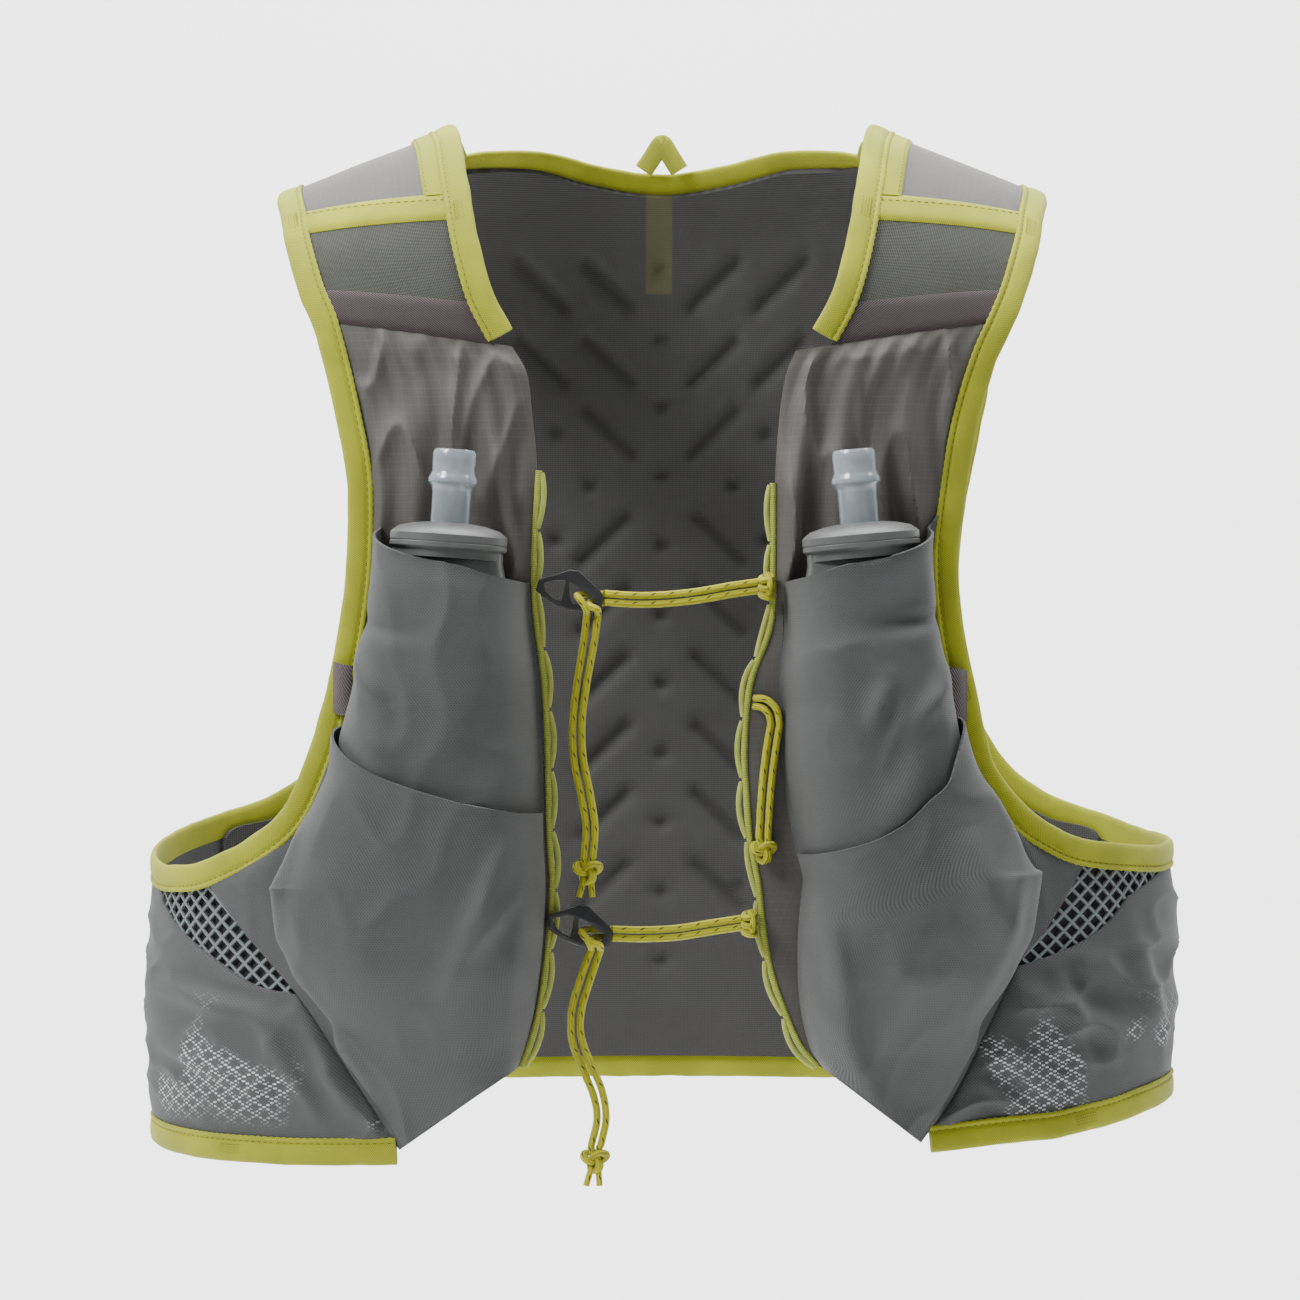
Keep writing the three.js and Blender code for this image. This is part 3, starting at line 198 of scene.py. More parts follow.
class Weave(Enum):
    """How a cloth is made."""

    KNIT = "knit"
    STRETCH = "stretch"
    RIPSTOP = "ripstop"
    SPACER = "spacer"
    RIB = "rib"
    OVERLOCK = "overlock"
    BRAID = "braid"
    NET = "net"


@dataclass(frozen=True)
class Cloth:
    """A woven or knitted finish."""

    name: str
    weave: Weave
    light: tuple[float, ...]
    dark: tuple[float, ...]
    pitch: float
    relief: float
    roughness: float = 0.85
    sheen: float = 0.15
    mottle: float = 0.25
    clear: float = 0.0
    flecks: float = 0.0

    def pattern(self, shader: Shader) -> Value:
        """The yarn's height from 0 to 1."""
        along, up, _ = shader.cloth()
        if self.weave is Weave.KNIT:
            return (along.wave(self.pitch) * up.wave(self.pitch * 1.4)) * 0.5 + 0.5
        if self.weave is Weave.STRETCH:
            cells = along.wave(self.pitch) * up.wave(self.pitch * 1.15)
            return 1 - (cells * 0.5 + 0.5).between(0.62, 0.95)
        if self.weave is Weave.RIPSTOP:
            threads = along.wave(self.pitch) * up.wave(self.pitch) * 0.25 + 0.4
            cross = (along.wave(self.pitch * 16).size()).between(0.0, 0.12)
            rows = (up.wave(self.pitch * 16).size()).between(0.0, 0.12)
            return threads + (1 - cross * rows) * 0.35
        if self.weave is Weave.SPACER:
            return ((along + up).wave(self.pitch * 1.4) * (along - up).wave(self.pitch * 1.4)) * 0.5 + 0.5
        if self.weave is Weave.RIB:
            return (along + up * 0.8).wave(self.pitch) * 0.5 + 0.5
        if self.weave is Weave.OVERLOCK:
            return along.wave(self.pitch).size()
        if self.weave is Weave.NET:
            first = ((along + up * 0.8) / self.pitch).part() - 0.5
            second = ((along - up * 0.8) / self.pitch).part() - 0.5
            return first.size().maths("MAXIMUM", second.size()).between(0.3, 0.44)
        strands = (along / self.pitch + up).wave(0.25) * (along / self.pitch - up).wave(0.25)
        return strands * 0.5 + 0.5

    def material(self) -> bpy.types.Material:
        """Builds the node material."""
        shader = Shader(self.name)
        yarn = self.pattern(shader)
        patch = shader.noise(38.0, 3.0).between(0.35, 0.7)
        grain = shader.noise(900.0, 2.0)
        share = yarn * (1 - self.mottle) + patch * self.mottle
        tone = shader.blend(share.between(0.05, 0.95), self.dark, self.light)
        if self.weave is Weave.BRAID:
            tone = self.flecked(shader, tone)
        if self.name == "back_mesh":
            # The back mesh gets painted shade and the tape that shows through it
            tone = self.painted_shade_and_tape(shader, tone)
        if self.flecks:
            tone = self.reflective(shader, tone)
        inputs = {
            "Base Color": tone,
            "Roughness": patch * 0.06 + self.roughness - 0.03,
            "Sheen Weight": self.sheen,
            "Specular IOR Level": 0.25,
        }
        if self.clear:
            inputs["Alpha"] = yarn.between(0.1, 0.6) * self.clear + (1 - self.clear)
        shader.dress(inputs, yarn + grain * 0.35, self.relief)
        return shader.material

    def flecked(self, shader: Shader, tone: Value) -> Value:
        """Dark yarn that shows as dashes along a braid."""
        along, up, _ = shader.cloth()
        rows = (along / (self.pitch * 3.2) + up * 2).part()
        dash = (rows - 0.5).size().between(0.4, 0.44) * (up * 4).part().between(0.5, 0.62)
        return shader.blend(dash * 0.9, tone, colour(38, 36, 20))

    def painted_shade_and_tape(self, shader: Shader, tone: Value) -> Value:
        """Painted shade low down and in the dents, and the hanging tape that shows through the mesh."""
        tape_middle, tape_half, tape_foot, blur = -1.1 * MM, 6 * MM, -66 * MM, 0.5 * MM
        across, _, height = shader.axes(shader.place())
        dents = shader.node("ShaderNodeAttribute", {"attribute_name": "press"}, {}, "Fac")
        # Painted shade: the foam is darker towards the bottom of the back
        tone = shader.blend((height * -1).between(0.05, 0.42) * 0.35, tone, self.dark)
        # Painted shade in the dents: darker where they are deepest
        tone = shader.blend(dents.between(0.15, 0.9) * 0.25, tone, colour(26, 26, 26))
        tape = 1 - (across - tape_middle).size().between(tape_half - 0.8 * blur, tape_half + 0.8 * blur)
        run = height.between(tape_foot - blur, tape_foot + blur)
        return shader.blend(tape * run * 0.6, tone, colour(92, 88, 50))

    def reflective(self, shader: Shader, tone: Value) -> Value:
        """Reflective flecks: dashes on a lattice, in clusters low on the side pockets."""
        cell, dash_length, dash_width = 6 * MM, 2.6 * MM, 1.8 * MM
        along, up, _ = shader.cloth()
        lattice = ((along + up) / cell).part() - 0.5
        crossed = ((along - up) / cell).part() - 0.5
        rows = lattice.size().maths("MAXIMUM", crossed.size()).between(0.26, 0.4)
        dashes = (along.wave(dash_length) * up.wave(dash_width)).between(0.05, 0.35)
        clusters = shader.noise(26.0, 1.0).between(0.5, 0.58)
        _, _, height = shader.axes(shader.place())
        printed = (height * -1).between(0.37, 0.392) * (height + 0.43).between(0.0, 0.012)
        sparks = dashes * rows * clusters * printed
        return shader.blend(sparks * self.flecks, tone, colour(205, 207, 210))


@dataclass(frozen=True)
class Moulding:
    """A moulded finish."""

    name: str
    tone: tuple[float, ...]
    worn: tuple[float, ...]
    roughness: float
    grain: float = 0.00006
    transmission: float = 0.0
    coat: float = 0.0

    def material(self) -> bpy.types.Material:
        """Builds the node material."""
        shader = Shader(self.name)
        patch = shader.noise(60.0, 4.0)
        grain = shader.noise(1600.0, 2.0)
        inputs = {
            "Base Color": shader.blend(patch.between(0.35, 0.75), self.tone, self.worn),
            "Roughness": patch * 0.14 + self.roughness - 0.07,
            "Transmission Weight": self.transmission,
            "Coat Weight": self.coat,
            "Specular IOR Level": 0.5,
        }
        shader.dress(inputs, grain, self.grain)
        return shader.material


class Palette:
    """Every finish of the vest, made once."""

    def __init__(self) -> None:
        """Builds the materials."""
        lime, olive = colour(161, 165, 42), colour(116, 120, 22)
        grey, deep = colour(75, 76, 76), colour(46, 47, 47)
        self.binding = Cloth("lime_binding", Weave.KNIT, lime, olive, pitch=0.9 * MM, relief=0.1 * MM,
                             roughness=0.9, sheen=0.1).material()
        self.stretch = Cloth("pocket_mesh", Weave.STRETCH, grey, deep, pitch=1.25 * MM, relief=0.24 * MM,
                             roughness=0.72, sheen=0.06, mottle=0.12).material()
        self.side = Cloth("side_mesh", Weave.STRETCH, grey, deep, pitch=1.1 * MM, relief=0.16 * MM,
                          roughness=0.72, sheen=0.06, mottle=0.15, flecks=0.8).material()
        self.ripstop = Cloth("ripstop", Weave.RIPSTOP, colour(95, 93, 89), colour(66, 64, 60),
                             pitch=0.42 * MM, relief=0.07 * MM, roughness=0.55, sheen=0.05,
                             mottle=0.12).material()
        self.shell = Cloth("shell_ripstop", Weave.RIPSTOP, colour(98, 97, 94), colour(80, 79, 76),
                           pitch=0.42 * MM, relief=0.07 * MM, roughness=0.55, sheen=0.05,
                           mottle=0.1).material()
        self.spacer = Cloth("back_mesh", Weave.SPACER, colour(74, 74, 74), colour(46, 45, 44),
                            pitch=1.3 * MM, relief=0.2 * MM, roughness=0.7, sheen=0.05,
                            mottle=0.1).material()
        self.sheer = Cloth("sheer_mesh", Weave.SPACER, colour(80, 82, 76), colour(40, 41, 37),
                           pitch=1.1 * MM, relief=0.3 * MM, roughness=0.8, sheen=0.05, mottle=0.15,
                           clear=0.35).material()
        self.plum = Cloth("plum_elastic", Weave.RIB, colour(84, 72, 74), colour(38, 30, 32),
                          pitch=1.5 * MM, relief=0.35 * MM, roughness=0.8, sheen=0.05, mottle=0.1).material()
        self.ladder = Cloth("ladder_webbing", Weave.OVERLOCK, colour(172, 182, 76), colour(112, 120, 38),
                            pitch=1.5 * MM, relief=0.25 * MM, roughness=0.75, sheen=0.1,
                            mottle=0.15).material()
        self.loop = Cloth("ladder_loops", Weave.KNIT, colour(178, 186, 92), colour(146, 154, 66),
                          pitch=0.8 * MM, relief=0.06 * MM, roughness=0.7, sheen=0.1, mottle=0.2).material()
        self.cord = Cloth("lime_cord", Weave.BRAID, colour(206, 202, 34), colour(148, 145, 14),
                          pitch=2.4 * MM, relief=0.3 * MM, roughness=0.65, sheen=0.1, mottle=0.1).material()
        self.thread = Cloth("thread", Weave.KNIT, colour(112, 110, 28), colour(80, 78, 16),
                            pitch=0.5 * MM, relief=0.05 * MM, roughness=0.7, sheen=0.05).material()
        self.net = Cloth("side_net", Weave.NET, colour(104, 112, 112), colour(66, 73, 73),
                         pitch=5.6 * MM, relief=0.8 * MM, roughness=0.7, sheen=0.05, mottle=0.1,
                         clear=1.0).material()
        self.lining = Cloth("net_lining", Weave.KNIT, colour(52, 55, 55), colour(38, 40, 40),
                            pitch=1.2 * MM, relief=0.1 * MM, sheen=0.05).material()
        self.hook = Moulding("hook_plastic", colour(26, 26, 27), colour(40, 40, 42), roughness=0.34,
                             coat=0.15).material()
        self.cap = Moulding("flask_cap", colour(76, 77, 77), colour(85, 86, 85), roughness=0.42).material()
        self.film = Moulding("flask_film", colour(74, 76, 76), colour(84, 86, 86), roughness=0.34,
                             transmission=0.15, coat=0.2).material()
        self.valve = Moulding("bite_valve", colour(160, 171, 178), colour(182, 193, 200), roughness=0.18,
                              transmission=0.5, coat=0.5).material()


@dataclass(frozen=True)
class BodyForm:
    """The worn form: a squared ellipse in plan that closes in a round shoulder."""

    half_width: float = 0.220
    height: float = 0.440
    front: float = 0.105
    back: float = 0.112
    squareness: float = 0.25
    shoulder_start: float = 0.110
    slope: float = 0.4
    neck_half: float = 0.084
    ridge: float = 0.14
    step: float = 0.00002

    def top(self, x: Grid) -> Grid:
        """Height of the shoulder line at x."""
        return self.slope * (self.neck_half - np.hypot(x, self.neck_half * self.ridge))

    def value(self, p: Grid) -> Grid:
        """Below 0 inside the form, 0 on it."""
        x, y, z = p[..., 0], p[..., 1], p[..., 2]
        across = x / self.half_width
        depth = np.where(y < 0, self.front, self.back) * (1 + self.squareness * across**2)
        climb = np.maximum(0, (z + self.shoulder_start) / (self.top(x) + self.shoulder_start))
        return (y / depth) ** 2 + across**2 + (1 - across**2) * climb**2 - 1

    def slope_at(self, p: Grid) -> Grid:
        """The gradient of value."""
        parts = []
        for axis in range(3):
            shift = np.zeros(3)
            shift[axis] = self.step
            parts.append((self.value(p + shift) - self.value(p - shift)) / (2 * self.step))
        return np.stack(parts, -1)

    def normal(self, p: Grid) -> Grid:
        """Outward direction at points of the form."""
        slope = self.slope_at(p)
        return slope / np.linalg.norm(slope, axis=-1, keepdims=True)

    def seat(self, points: Grid, lift: Any = 0.0) -> Grid:
        """Moves points onto the form and out from it by lift."""
        p = np.array(points, float)
        for _ in range(8):
            slope = self.slope_at(p)
            p = p - slope * (self.value(p) / (slope * slope).sum(-1))[..., None]
        return p + self.normal(p) * np.asarray(lift)[..., None]

    def point(self, side: int, face: str, x_share: float, z_share: float) -> Grid:
        """A point on the front, back or top from shares of half width and height."""
        x = side * x_share * self.half_width
        if face == "top":
            return self.seat(np.array([x, 0.0, float(self.top(np.array(x)))]))
        z = z_share * self.height
        across = min(0.999, abs(x_share))
        climb = (z + self.shoulder_start) / (float(self.top(np.array(x))) + self.shoulder_start)
        climb = min(0.999, max(0.0, climb))
        reach = math.sqrt((1 - across**2) * (1 - climb**2)) * (1 + self.squareness * across**2)
        return np.array([x, -self.front * reach if face == "front" else self.back * reach, z])


FORM = BodyForm()

# Stations of the cut, as shares of the form's half width and height, the inner or neck edge first
STRAP = [
    ("back", 0.423, -0.034, 0.677, -0.118),
    ("back", 0.439, -0.023, 0.697, -0.086),
    ("top", 0.45, 0, 0.712, 0),
    ("front", 0.43, -0.034, 0.705, -0.082),
    ("front", 0.409, -0.088, 0.692, -0.101),
    ("front", 0.4, -0.113, 0.682, -0.123),
    ("front", 0.382, -0.154, 0.664, -0.152),
    ("front", 0.357, -0.195, 0.645, -0.18),
    ("front", 0.32, -0.23, 0.62, -0.208),
]
CHEST = {
    -1: [
        (0.283, -0.235, 0.62, -0.208), (0.255, -0.261, 0.596, -0.25), (0.245, -0.3, 0.573, -0.3),
        (0.236, -0.352, 0.552, -0.359), (0.245, -0.427, 0.552, -0.432), (0.243, -0.482, 0.564, -0.489),
        (0.227, -0.545, 0.591, -0.559), (0.22, -0.605, 0.632, -0.627), (0.218, -0.659, 0.686, -0.684),
        (0.216, -0.7, 0.768, -0.719), (0.211, -0.736, 0.87, -0.744), (0.214, -0.773, 0.805, -0.784),
        (0.223, -0.818, 0.691, -0.847), (0.236, -0.859, 0.623, -0.895), (0.252, -0.889, 0.555, -0.945),
        (0.268, -0.911, 0.495, -0.991),
    ],
    1: [
        (0.251, -0.239, 0.62, -0.208), (0.23, -0.266, 0.588, -0.243), (0.218, -0.309, 0.55, -0.305),
        (0.211, -0.364, 0.527, -0.375), (0.211, -0.432, 0.514, -0.436), (0.207, -0.495, 0.523, -0.498),
        (0.168, -0.552, 0.55, -0.564), (0.157, -0.614, 0.586, -0.636), (0.161, -0.659, 0.655, -0.682),
        (0.168, -0.7, 0.727, -0.708), (0.182, -0.736, 0.805, -0.723), (0.191, -0.777, 0.732, -0.782),
        (0.205, -0.818, 0.67, -0.82), (0.227, -0.852, 0.609, -0.882), (0.259, -0.889, 0.55, -0.939),
        (0.293, -0.91, 0.486, -0.984),
    ],
}
# Chest stations at the armhole's corner, the net window's foot, the tip and the ladder's head
ARM_CORNER = 10
WINDOW_FOOT = 12
TIP = 15
LADDER_ROW = 3
UNDERARM = {-1: [(0.93, -0.75), (0.984, -0.748)], 1: [(0.936, -0.731), (0.984, -0.73)]}
ARM_BACK = [
    (0.964, -0.722), (0.895, -0.709), (0.8, -0.693), (0.718, -0.668), (0.655, -0.632), (0.605, -0.58),
    (0.577, -0.511), (0.575, -0.432), (0.586, -0.375), (0.605, -0.323), (0.63, -0.261), (0.645, -0.216),
    (0.67, -0.164),
]
BACK_NECK = [(0.364, -0.03), (0.259, -0.029), (0.136, -0.042), (0, -0.05)]
WINDOW = {
    -1: [(0.773, -0.839), (0.855, -0.816), (0.927, -0.791), (0.966, -0.768)],
    1: [(0.732, -0.811), (0.791, -0.8), (0.85, -0.782), (0.895, -0.757)],
}
HEM = {
    -1: [
        ("front", 0.512, -0.983), ("front", 0.555, -0.984), ("front", 0.623, -0.985),
        ("front", 0.695, -0.986), ("front", 0.775, -0.986), ("front", 0.85, -0.986),
        ("front", 0.914, -0.985), ("front", 0.962, -0.983), ("front", 0.994, -0.98),
        ("back", 0.968, -0.974), ("back", 0.9, -0.966),
    ],
    1: [
        ("front", 0.512, -0.971), ("front", 0.555, -0.969), ("front", 0.615, -0.966),
        ("front", 0.675, -0.964), ("front", 0.74, -0.962), ("front", 0.8, -0.957),
        ("front", 0.862, -0.952), ("front", 0.92, -0.945), ("front", 0.992, -0.937),
        ("back", 0.968, -0.939), ("back", 0.9, -0.948),
    ],
}
BACK_BELOW = (-0.77, -0.84, -0.91)
HEM_MIDDLE = -0.944
SIDE_NAMES = {-1: "left", 1: "right"}


def smooth(points: Grid, spans: int, breaks: Iterable[int] = (), ring: bool = False) -> Grid:
    """A curve through points.

    Args:
        points: Points in order.
        spans: Steps between two points.
        breaks: Points where the curve has a corner.
        ring: True where the last point joins the first.

    Returns:
        The points of the curve.
    """
    p = np.asarray(points, float)
    count = len(p)
    corners = set(breaks) | (set() if ring else {0, count - 1})
    made = []
    for i in range(count if ring else count - 1):
        a, b = p[i], p[(i + 1) % count]
        before = 2 * a - b if i in corners else p[(i - 1) % count]
        after = 2 * b - a if (i + 1) % count in corners else p[(i + 2) % count]
        for t in np.arange(spans) / spans:
            made.append(0.5 * (2 * a + (b - before) * t + (2 * before - 5 * a + 4 * b - after) * t**2
                               + (3 * a - before - 3 * b + after) * t**3))
    if not ring:
        made.append(p[-1])
    return np.array(made)


def lengths(line: Grid) -> Grid:
    """Distance along a line at each of its points."""
    return np.concatenate([[0], np.cumsum(np.linalg.norm(np.diff(line, axis=0), axis=1))])


def sample(line: Grid, run: Grid, at: Any) -> Grid:
    """Points of a line at places that run measures along it."""
    return np.stack([np.interp(at, run, line[:, axis]) for axis in range(3)], -1)


def even(line: Grid, step: float, ring: bool = False) -> Grid:
    """The same line with points a step apart."""
    p = np.vstack([line, line[:1]]) if ring else line
    run = lengths(p)
    count = max(3, int(run[-1] / step))
    spread = sample(p, run, np.linspace(0, run[-1], count + 1))
    return spread[:-1] if ring else spread


def even_pair(first: Grid, second: Grid, step: float) -> tuple[Grid, Grid]:
    """Two lines with the same number of evenly spaced rows."""
    run = lengths((first + second) / 2)
    at = np.linspace(0, run[-1], max(3, int(run[-1] / step)))
    return sample(first, run, at), sample(second, run, at)


def across_line(line: Grid, hand: int, ring: bool = False) -> Grid:
    """Directions along the form and square to a line on it."""
    if ring:
        along = np.roll(line, -1, 0) - np.roll(line, 1, 0)
    else:
        along = np.gradient(line, axis=0)
    side = np.cross(FORM.normal(line), along)
    return side / np.linalg.norm(side, axis=1, keepdims=True) * hand


class Layout:
    """The seam lines of one side of the vest."""

    def __init__(self, side: int) -> None:
        """Places the stations of side -1, the viewer's left, or 1."""
        self.side = side
        self.name = SIDE_NAMES[side]
        self.neck = self.seam((face, x, z) for face, x, z, _, _ in STRAP)
        self.arm = self.seam((face, x, z) for face, _, _, x, z in STRAP)
        self.inner = self.seam(("front", x, z) for x, z, _, _ in CHEST[side])
        self.outer = self.seam(("front", x, z) for _, _, x, z in CHEST[side])
        self.underarm = self.seam(("front", x, z) for x, z in UNDERARM[side])
        self.arm_back = self.seam(("back", x, z) for x, z in ARM_BACK)
        self.window = self.seam(("front", x, z) for x, z in WINDOW[side])
        self.hem = self.seam(HEM[side])
        ring = [self.arm, self.outer[1:ARM_CORNER + 1], self.underarm, self.arm_back]
        self.armhole = smooth(np.vstack(ring), 6, ring=True)
        self.inner_line = smooth(self.inner, 8)
        self.outer_line = smooth(self.outer, 8, [ARM_CORNER])

    def seam(self, stations: Iterable[tuple[str, float, float]]) -> Grid:
        """Points of this side at stations of a face and two shares."""
        return np.array([FORM.point(self.side, *station) for station in stations])

    def chest(self, rows: Grid, share: Grid) -> Grid:
        """Points of the chest panel at rows of its stations and shares of its width."""
        at = np.linspace(0, TIP, len(self.inner_line))
        inner, outer = sample(self.inner_line, at, rows), sample(self.outer_line, at, rows)
        return inner + (outer - inner) * np.asarray(share)[..., None]

    def row_at(self, share: Grid, height: Grid) -> Grid:
        """The chest row that is at a height, for shares of the width."""
        low, high = np.zeros_like(share), np.full_like(share, TIP)
        for _ in range(30):
            middle = (low + high) / 2
            above = self.chest(middle, share)[..., 2] > height
            low, high = np.where(above, middle, low), np.where(above, high, middle)
        return low


SIDES = [Layout(-1), Layout(1)]


def back_neck() -> Grid:
    """The neck seam's stations across the back, from the viewer's left to the right."""
    left = [FORM.point(-1, "back", x, z) for x, z in BACK_NECK]
    right = [FORM.point(1, "back", x, z) for x, z in BACK_NECK[-2::-1]]
    return np.array(left + right)


def clear_selection() -> None:
    """Deselects every object."""
    for piece in bpy.context.selected_objects:
        piece.select_set(False)


def only(piece: bpy.types.Object) -> bpy.types.Object:
    """Makes a piece the one selected and active object."""
    clear_selection()
    bpy.context.view_layer.objects.active = piece
    piece.select_set(True)
    return piece


def add_object(name: str, data: bpy.types.ID) -> bpy.types.Object:
    """Adds an object to the scene."""
    piece = bpy.data.objects.new(name, data)
    bpy.context.scene.collection.objects.link(piece)
    return piece


def make(name: str, points: Grid, faces: list, uv: "Grid | None", material: bpy.types.Material,
         angle: float = 50.0) -> bpy.types.Object:
    """Adds a mesh piece.

    Args:
        name: The piece's name.
        points: Its vertices in the frame.
        faces: Corners of each face.
        uv: Cloth lengths of each vertex, or None.
        material: Its finish.
        angle: Edges sharper than this stay sharp, in degrees.

    Returns:
        The new object.
    """
    mesh = bpy.data.meshes.new(name)
    mesh.from_pydata(np.asarray(points).tolist(), [], [list(face) for face in faces])
    mesh.validate()
    if uv is not None:
        layer = mesh.uv_layers.new(name="cloth")
        corner = np.zeros(len(mesh.loops), np.int64)
        mesh.loops.foreach_get("vertex_index", corner)
        layer.data.foreach_set("uv", np.asarray(uv, np.float32)[corner].ravel())
    body = bmesh.new()
    body.from_mesh(mesh)
    if body.calc_volume(signed=True) < 0:
        bmesh.ops.reverse_faces(body, faces=body.faces)
    body.to_mesh(mesh)
    body.free()
    piece = add_object(name, mesh)
    mesh.materials.append(material)
    only(piece)
    bpy.ops.object.shade_smooth_by_angle(angle=math.radians(angle))
    return piece


def grid_faces(rows: int, columns: int, start: int = 0, flip: bool = False, ring: bool = False) -> list:
    """Faces of a grid of vertices, rows by columns, closed round its columns where ring is true."""
    made = []
    for i in range(rows - 1):
        for j in range(columns if ring else columns - 1):
            k = (j + 1) % columns
            a, b = start + i * columns + j, start + i * columns + k
            face = (a, b, b + columns, a + columns)
            made.append(face[::-1] if flip else face)
    return made


def tube_faces(rows: int, corners: int, closed: bool) -> list:
    """Faces of a row of rings, joined end to end where closed is true and capped otherwise."""
    faces = grid_faces(rows, corners, ring=True)
    last = (rows - 1) * corners
    if closed:
        return faces + [(last + j, last + (j + 1) % corners, (j + 1) % corners, j) for j in range(corners)]
    return faces + [tuple(range(corners))[::-1], tuple(last + j for j in range(corners))]


def wall(name: str, outer: Grid, out: Grid, thickness: float, uv: Grid, material: bpy.types.Material,
         angle: float = 50.0) -> bpy.types.Object:
    """A closed cloth wall behind a grid of outer points."""
    rows, columns = outer.shape[:2]
    inner = outer - out * thickness
    points = np.vstack([outer.reshape(-1, 3), inner.reshape(-1, 3)])
    half = rows * columns
    faces = grid_faces(rows, columns) + grid_faces(rows, columns, half, True)
    index = np.arange(half).reshape(rows, columns)
    rim = [*index[0], *index[1:, -1], *index[-1, -2::-1], *index[-2:0:-1, 0]]
    for a, b in zip(rim, rim[1:] + rim[:1]):
        faces.append((b, a, a + half, b + half))
    flat = uv.reshape(-1, 2)
    return make(name, points, faces, np.vstack([flat, flat]), material, angle)


def declare(piece: bpy.types.Object, grid: Grid, *rests_on: str) -> None:
    """Logs a cloth piece's flat size and area, taken along its own grid."""
    wide = float(np.linalg.norm(np.diff(grid, axis=1), axis=2).sum(1).max())
    high = float(np.linalg.norm(np.diff(grid, axis=0), axis=2).sum(0).max())
    first, second = grid[1:, :-1] - grid[:-1, :-1], grid[:-1, 1:] - grid[:-1, :-1]
    area = float(np.linalg.norm(np.cross(first, second), axis=2).sum())
    LOG.info("%s: flat %.0f x %.0f mm, area %.4f", piece.name, wide / MM, high / MM, area)
    area = min(max(area, 0.31 * wide * high), wide * high)


def wrap_uv(points: Grid, face: int = -1) -> Grid:
    """Cloth lengths round the form and up it, from the middle of the front, or of the back for face 1."""
    turn = np.arctan2(points[..., 0], face * points[..., 1])
    return np.stack([turn * 0.16, points[..., 2]], -1)


def grid_uv(points: Grid) -> Grid:
    """Cloth lengths along the rows and columns of a grid."""
    along = np.linalg.norm(np.diff(points, axis=1), axis=2)
    middle = along.shape[1] // 2
    run = np.concatenate([np.zeros((len(points), 1)), np.cumsum(along, axis=1)], 1)
    run = run - run[:, middle:middle + 1]
    return np.stack([run, points[..., 2]], -1)


def crumple(points: Grid, scale: Sequence[float], seed: float, ridged: bool = False) -> Grid:
    """Noise for each point, from -1 to 1, or creases from 0 to 1."""
    flat = points.reshape(-1, 3) * np.asarray(scale)
    made = np.array([noise.noise(Vector((x + seed, y, z))) for x, y, z in flat])
    made = (1 - np.abs(made) * 2.2).clip(0, 1) ** 2 if ridged else made
    return made.reshape(points.shape[:-1])


@dataclass(frozen=True)
class Fold:
    """A crease between two places across and up, in millimetres."""

    x0: float
    z0: float
    x1: float
    z1: float
    wide: float
    high: float

    def lift(self, points: Grid) -> Grid:
        """How far the crease stands out at points."""
        a = np.array([self.x0, self.z0]) * MM
        b = np.array([self.x1, self.z1]) * MM
        p = points[..., [0, 2]]
        share = (((p - a) @ (b - a)) / ((b - a) @ (b - a))).clip(0, 1)
        away = np.linalg.norm(p - a - share[..., None] * (b - a), axis=-1)
        fade = np.sin(np.pi * (0.08 + 0.84 * share))
        return self.high * MM * np.exp(-((away / (self.wide * MM)) ** 2)) * fade


def folded(points: Grid, folds: Iterable[Fold]) -> Grid:
    """The sum of several creases."""
    total = np.zeros(points.shape[:-1])
    for fold in folds:
        total += fold.lift(points)
    return total


def ride(piece: bpy.types.Object, slot: str, *nodes: str) -> bpy.types.Object:
    """Puts a piece on the body in place of CAD nodes."""
    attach(piece, BODY)
    if nodes:
        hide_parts(*nodes)
    LOG.info("%s: %d faces", piece.name, len(piece.data.polygons))
    return piece


# Shape of a folded binding: across the band from the cloth's edge, and lift from the form, in millimetres
BINDING_SHAPE = [
    (-1.5, 1.0), (-1.7, 1.7), (-1.1, 2.2), (-0.2, 2.1), (0.35, 1.65), (0.9, 1.6), (1.5, 2.05), (2.6, 2.3),
    (5.0, 2.42), (7.4, 2.28), (9.0, 1.75), (9.75, 0.9), (9.7, 0.1), (9.0, -0.6), (7.0, -1.05), (3.0, -1.1),
    (0.0, -1.0), (-1.3, -0.7),
]
# Points of that shape that ripple with the stitches, that rise with them and that wander slowly
LIP_POINTS = range(3)
RISING_POINTS = range(5)
SLACK_POINTS = range(8, 14)


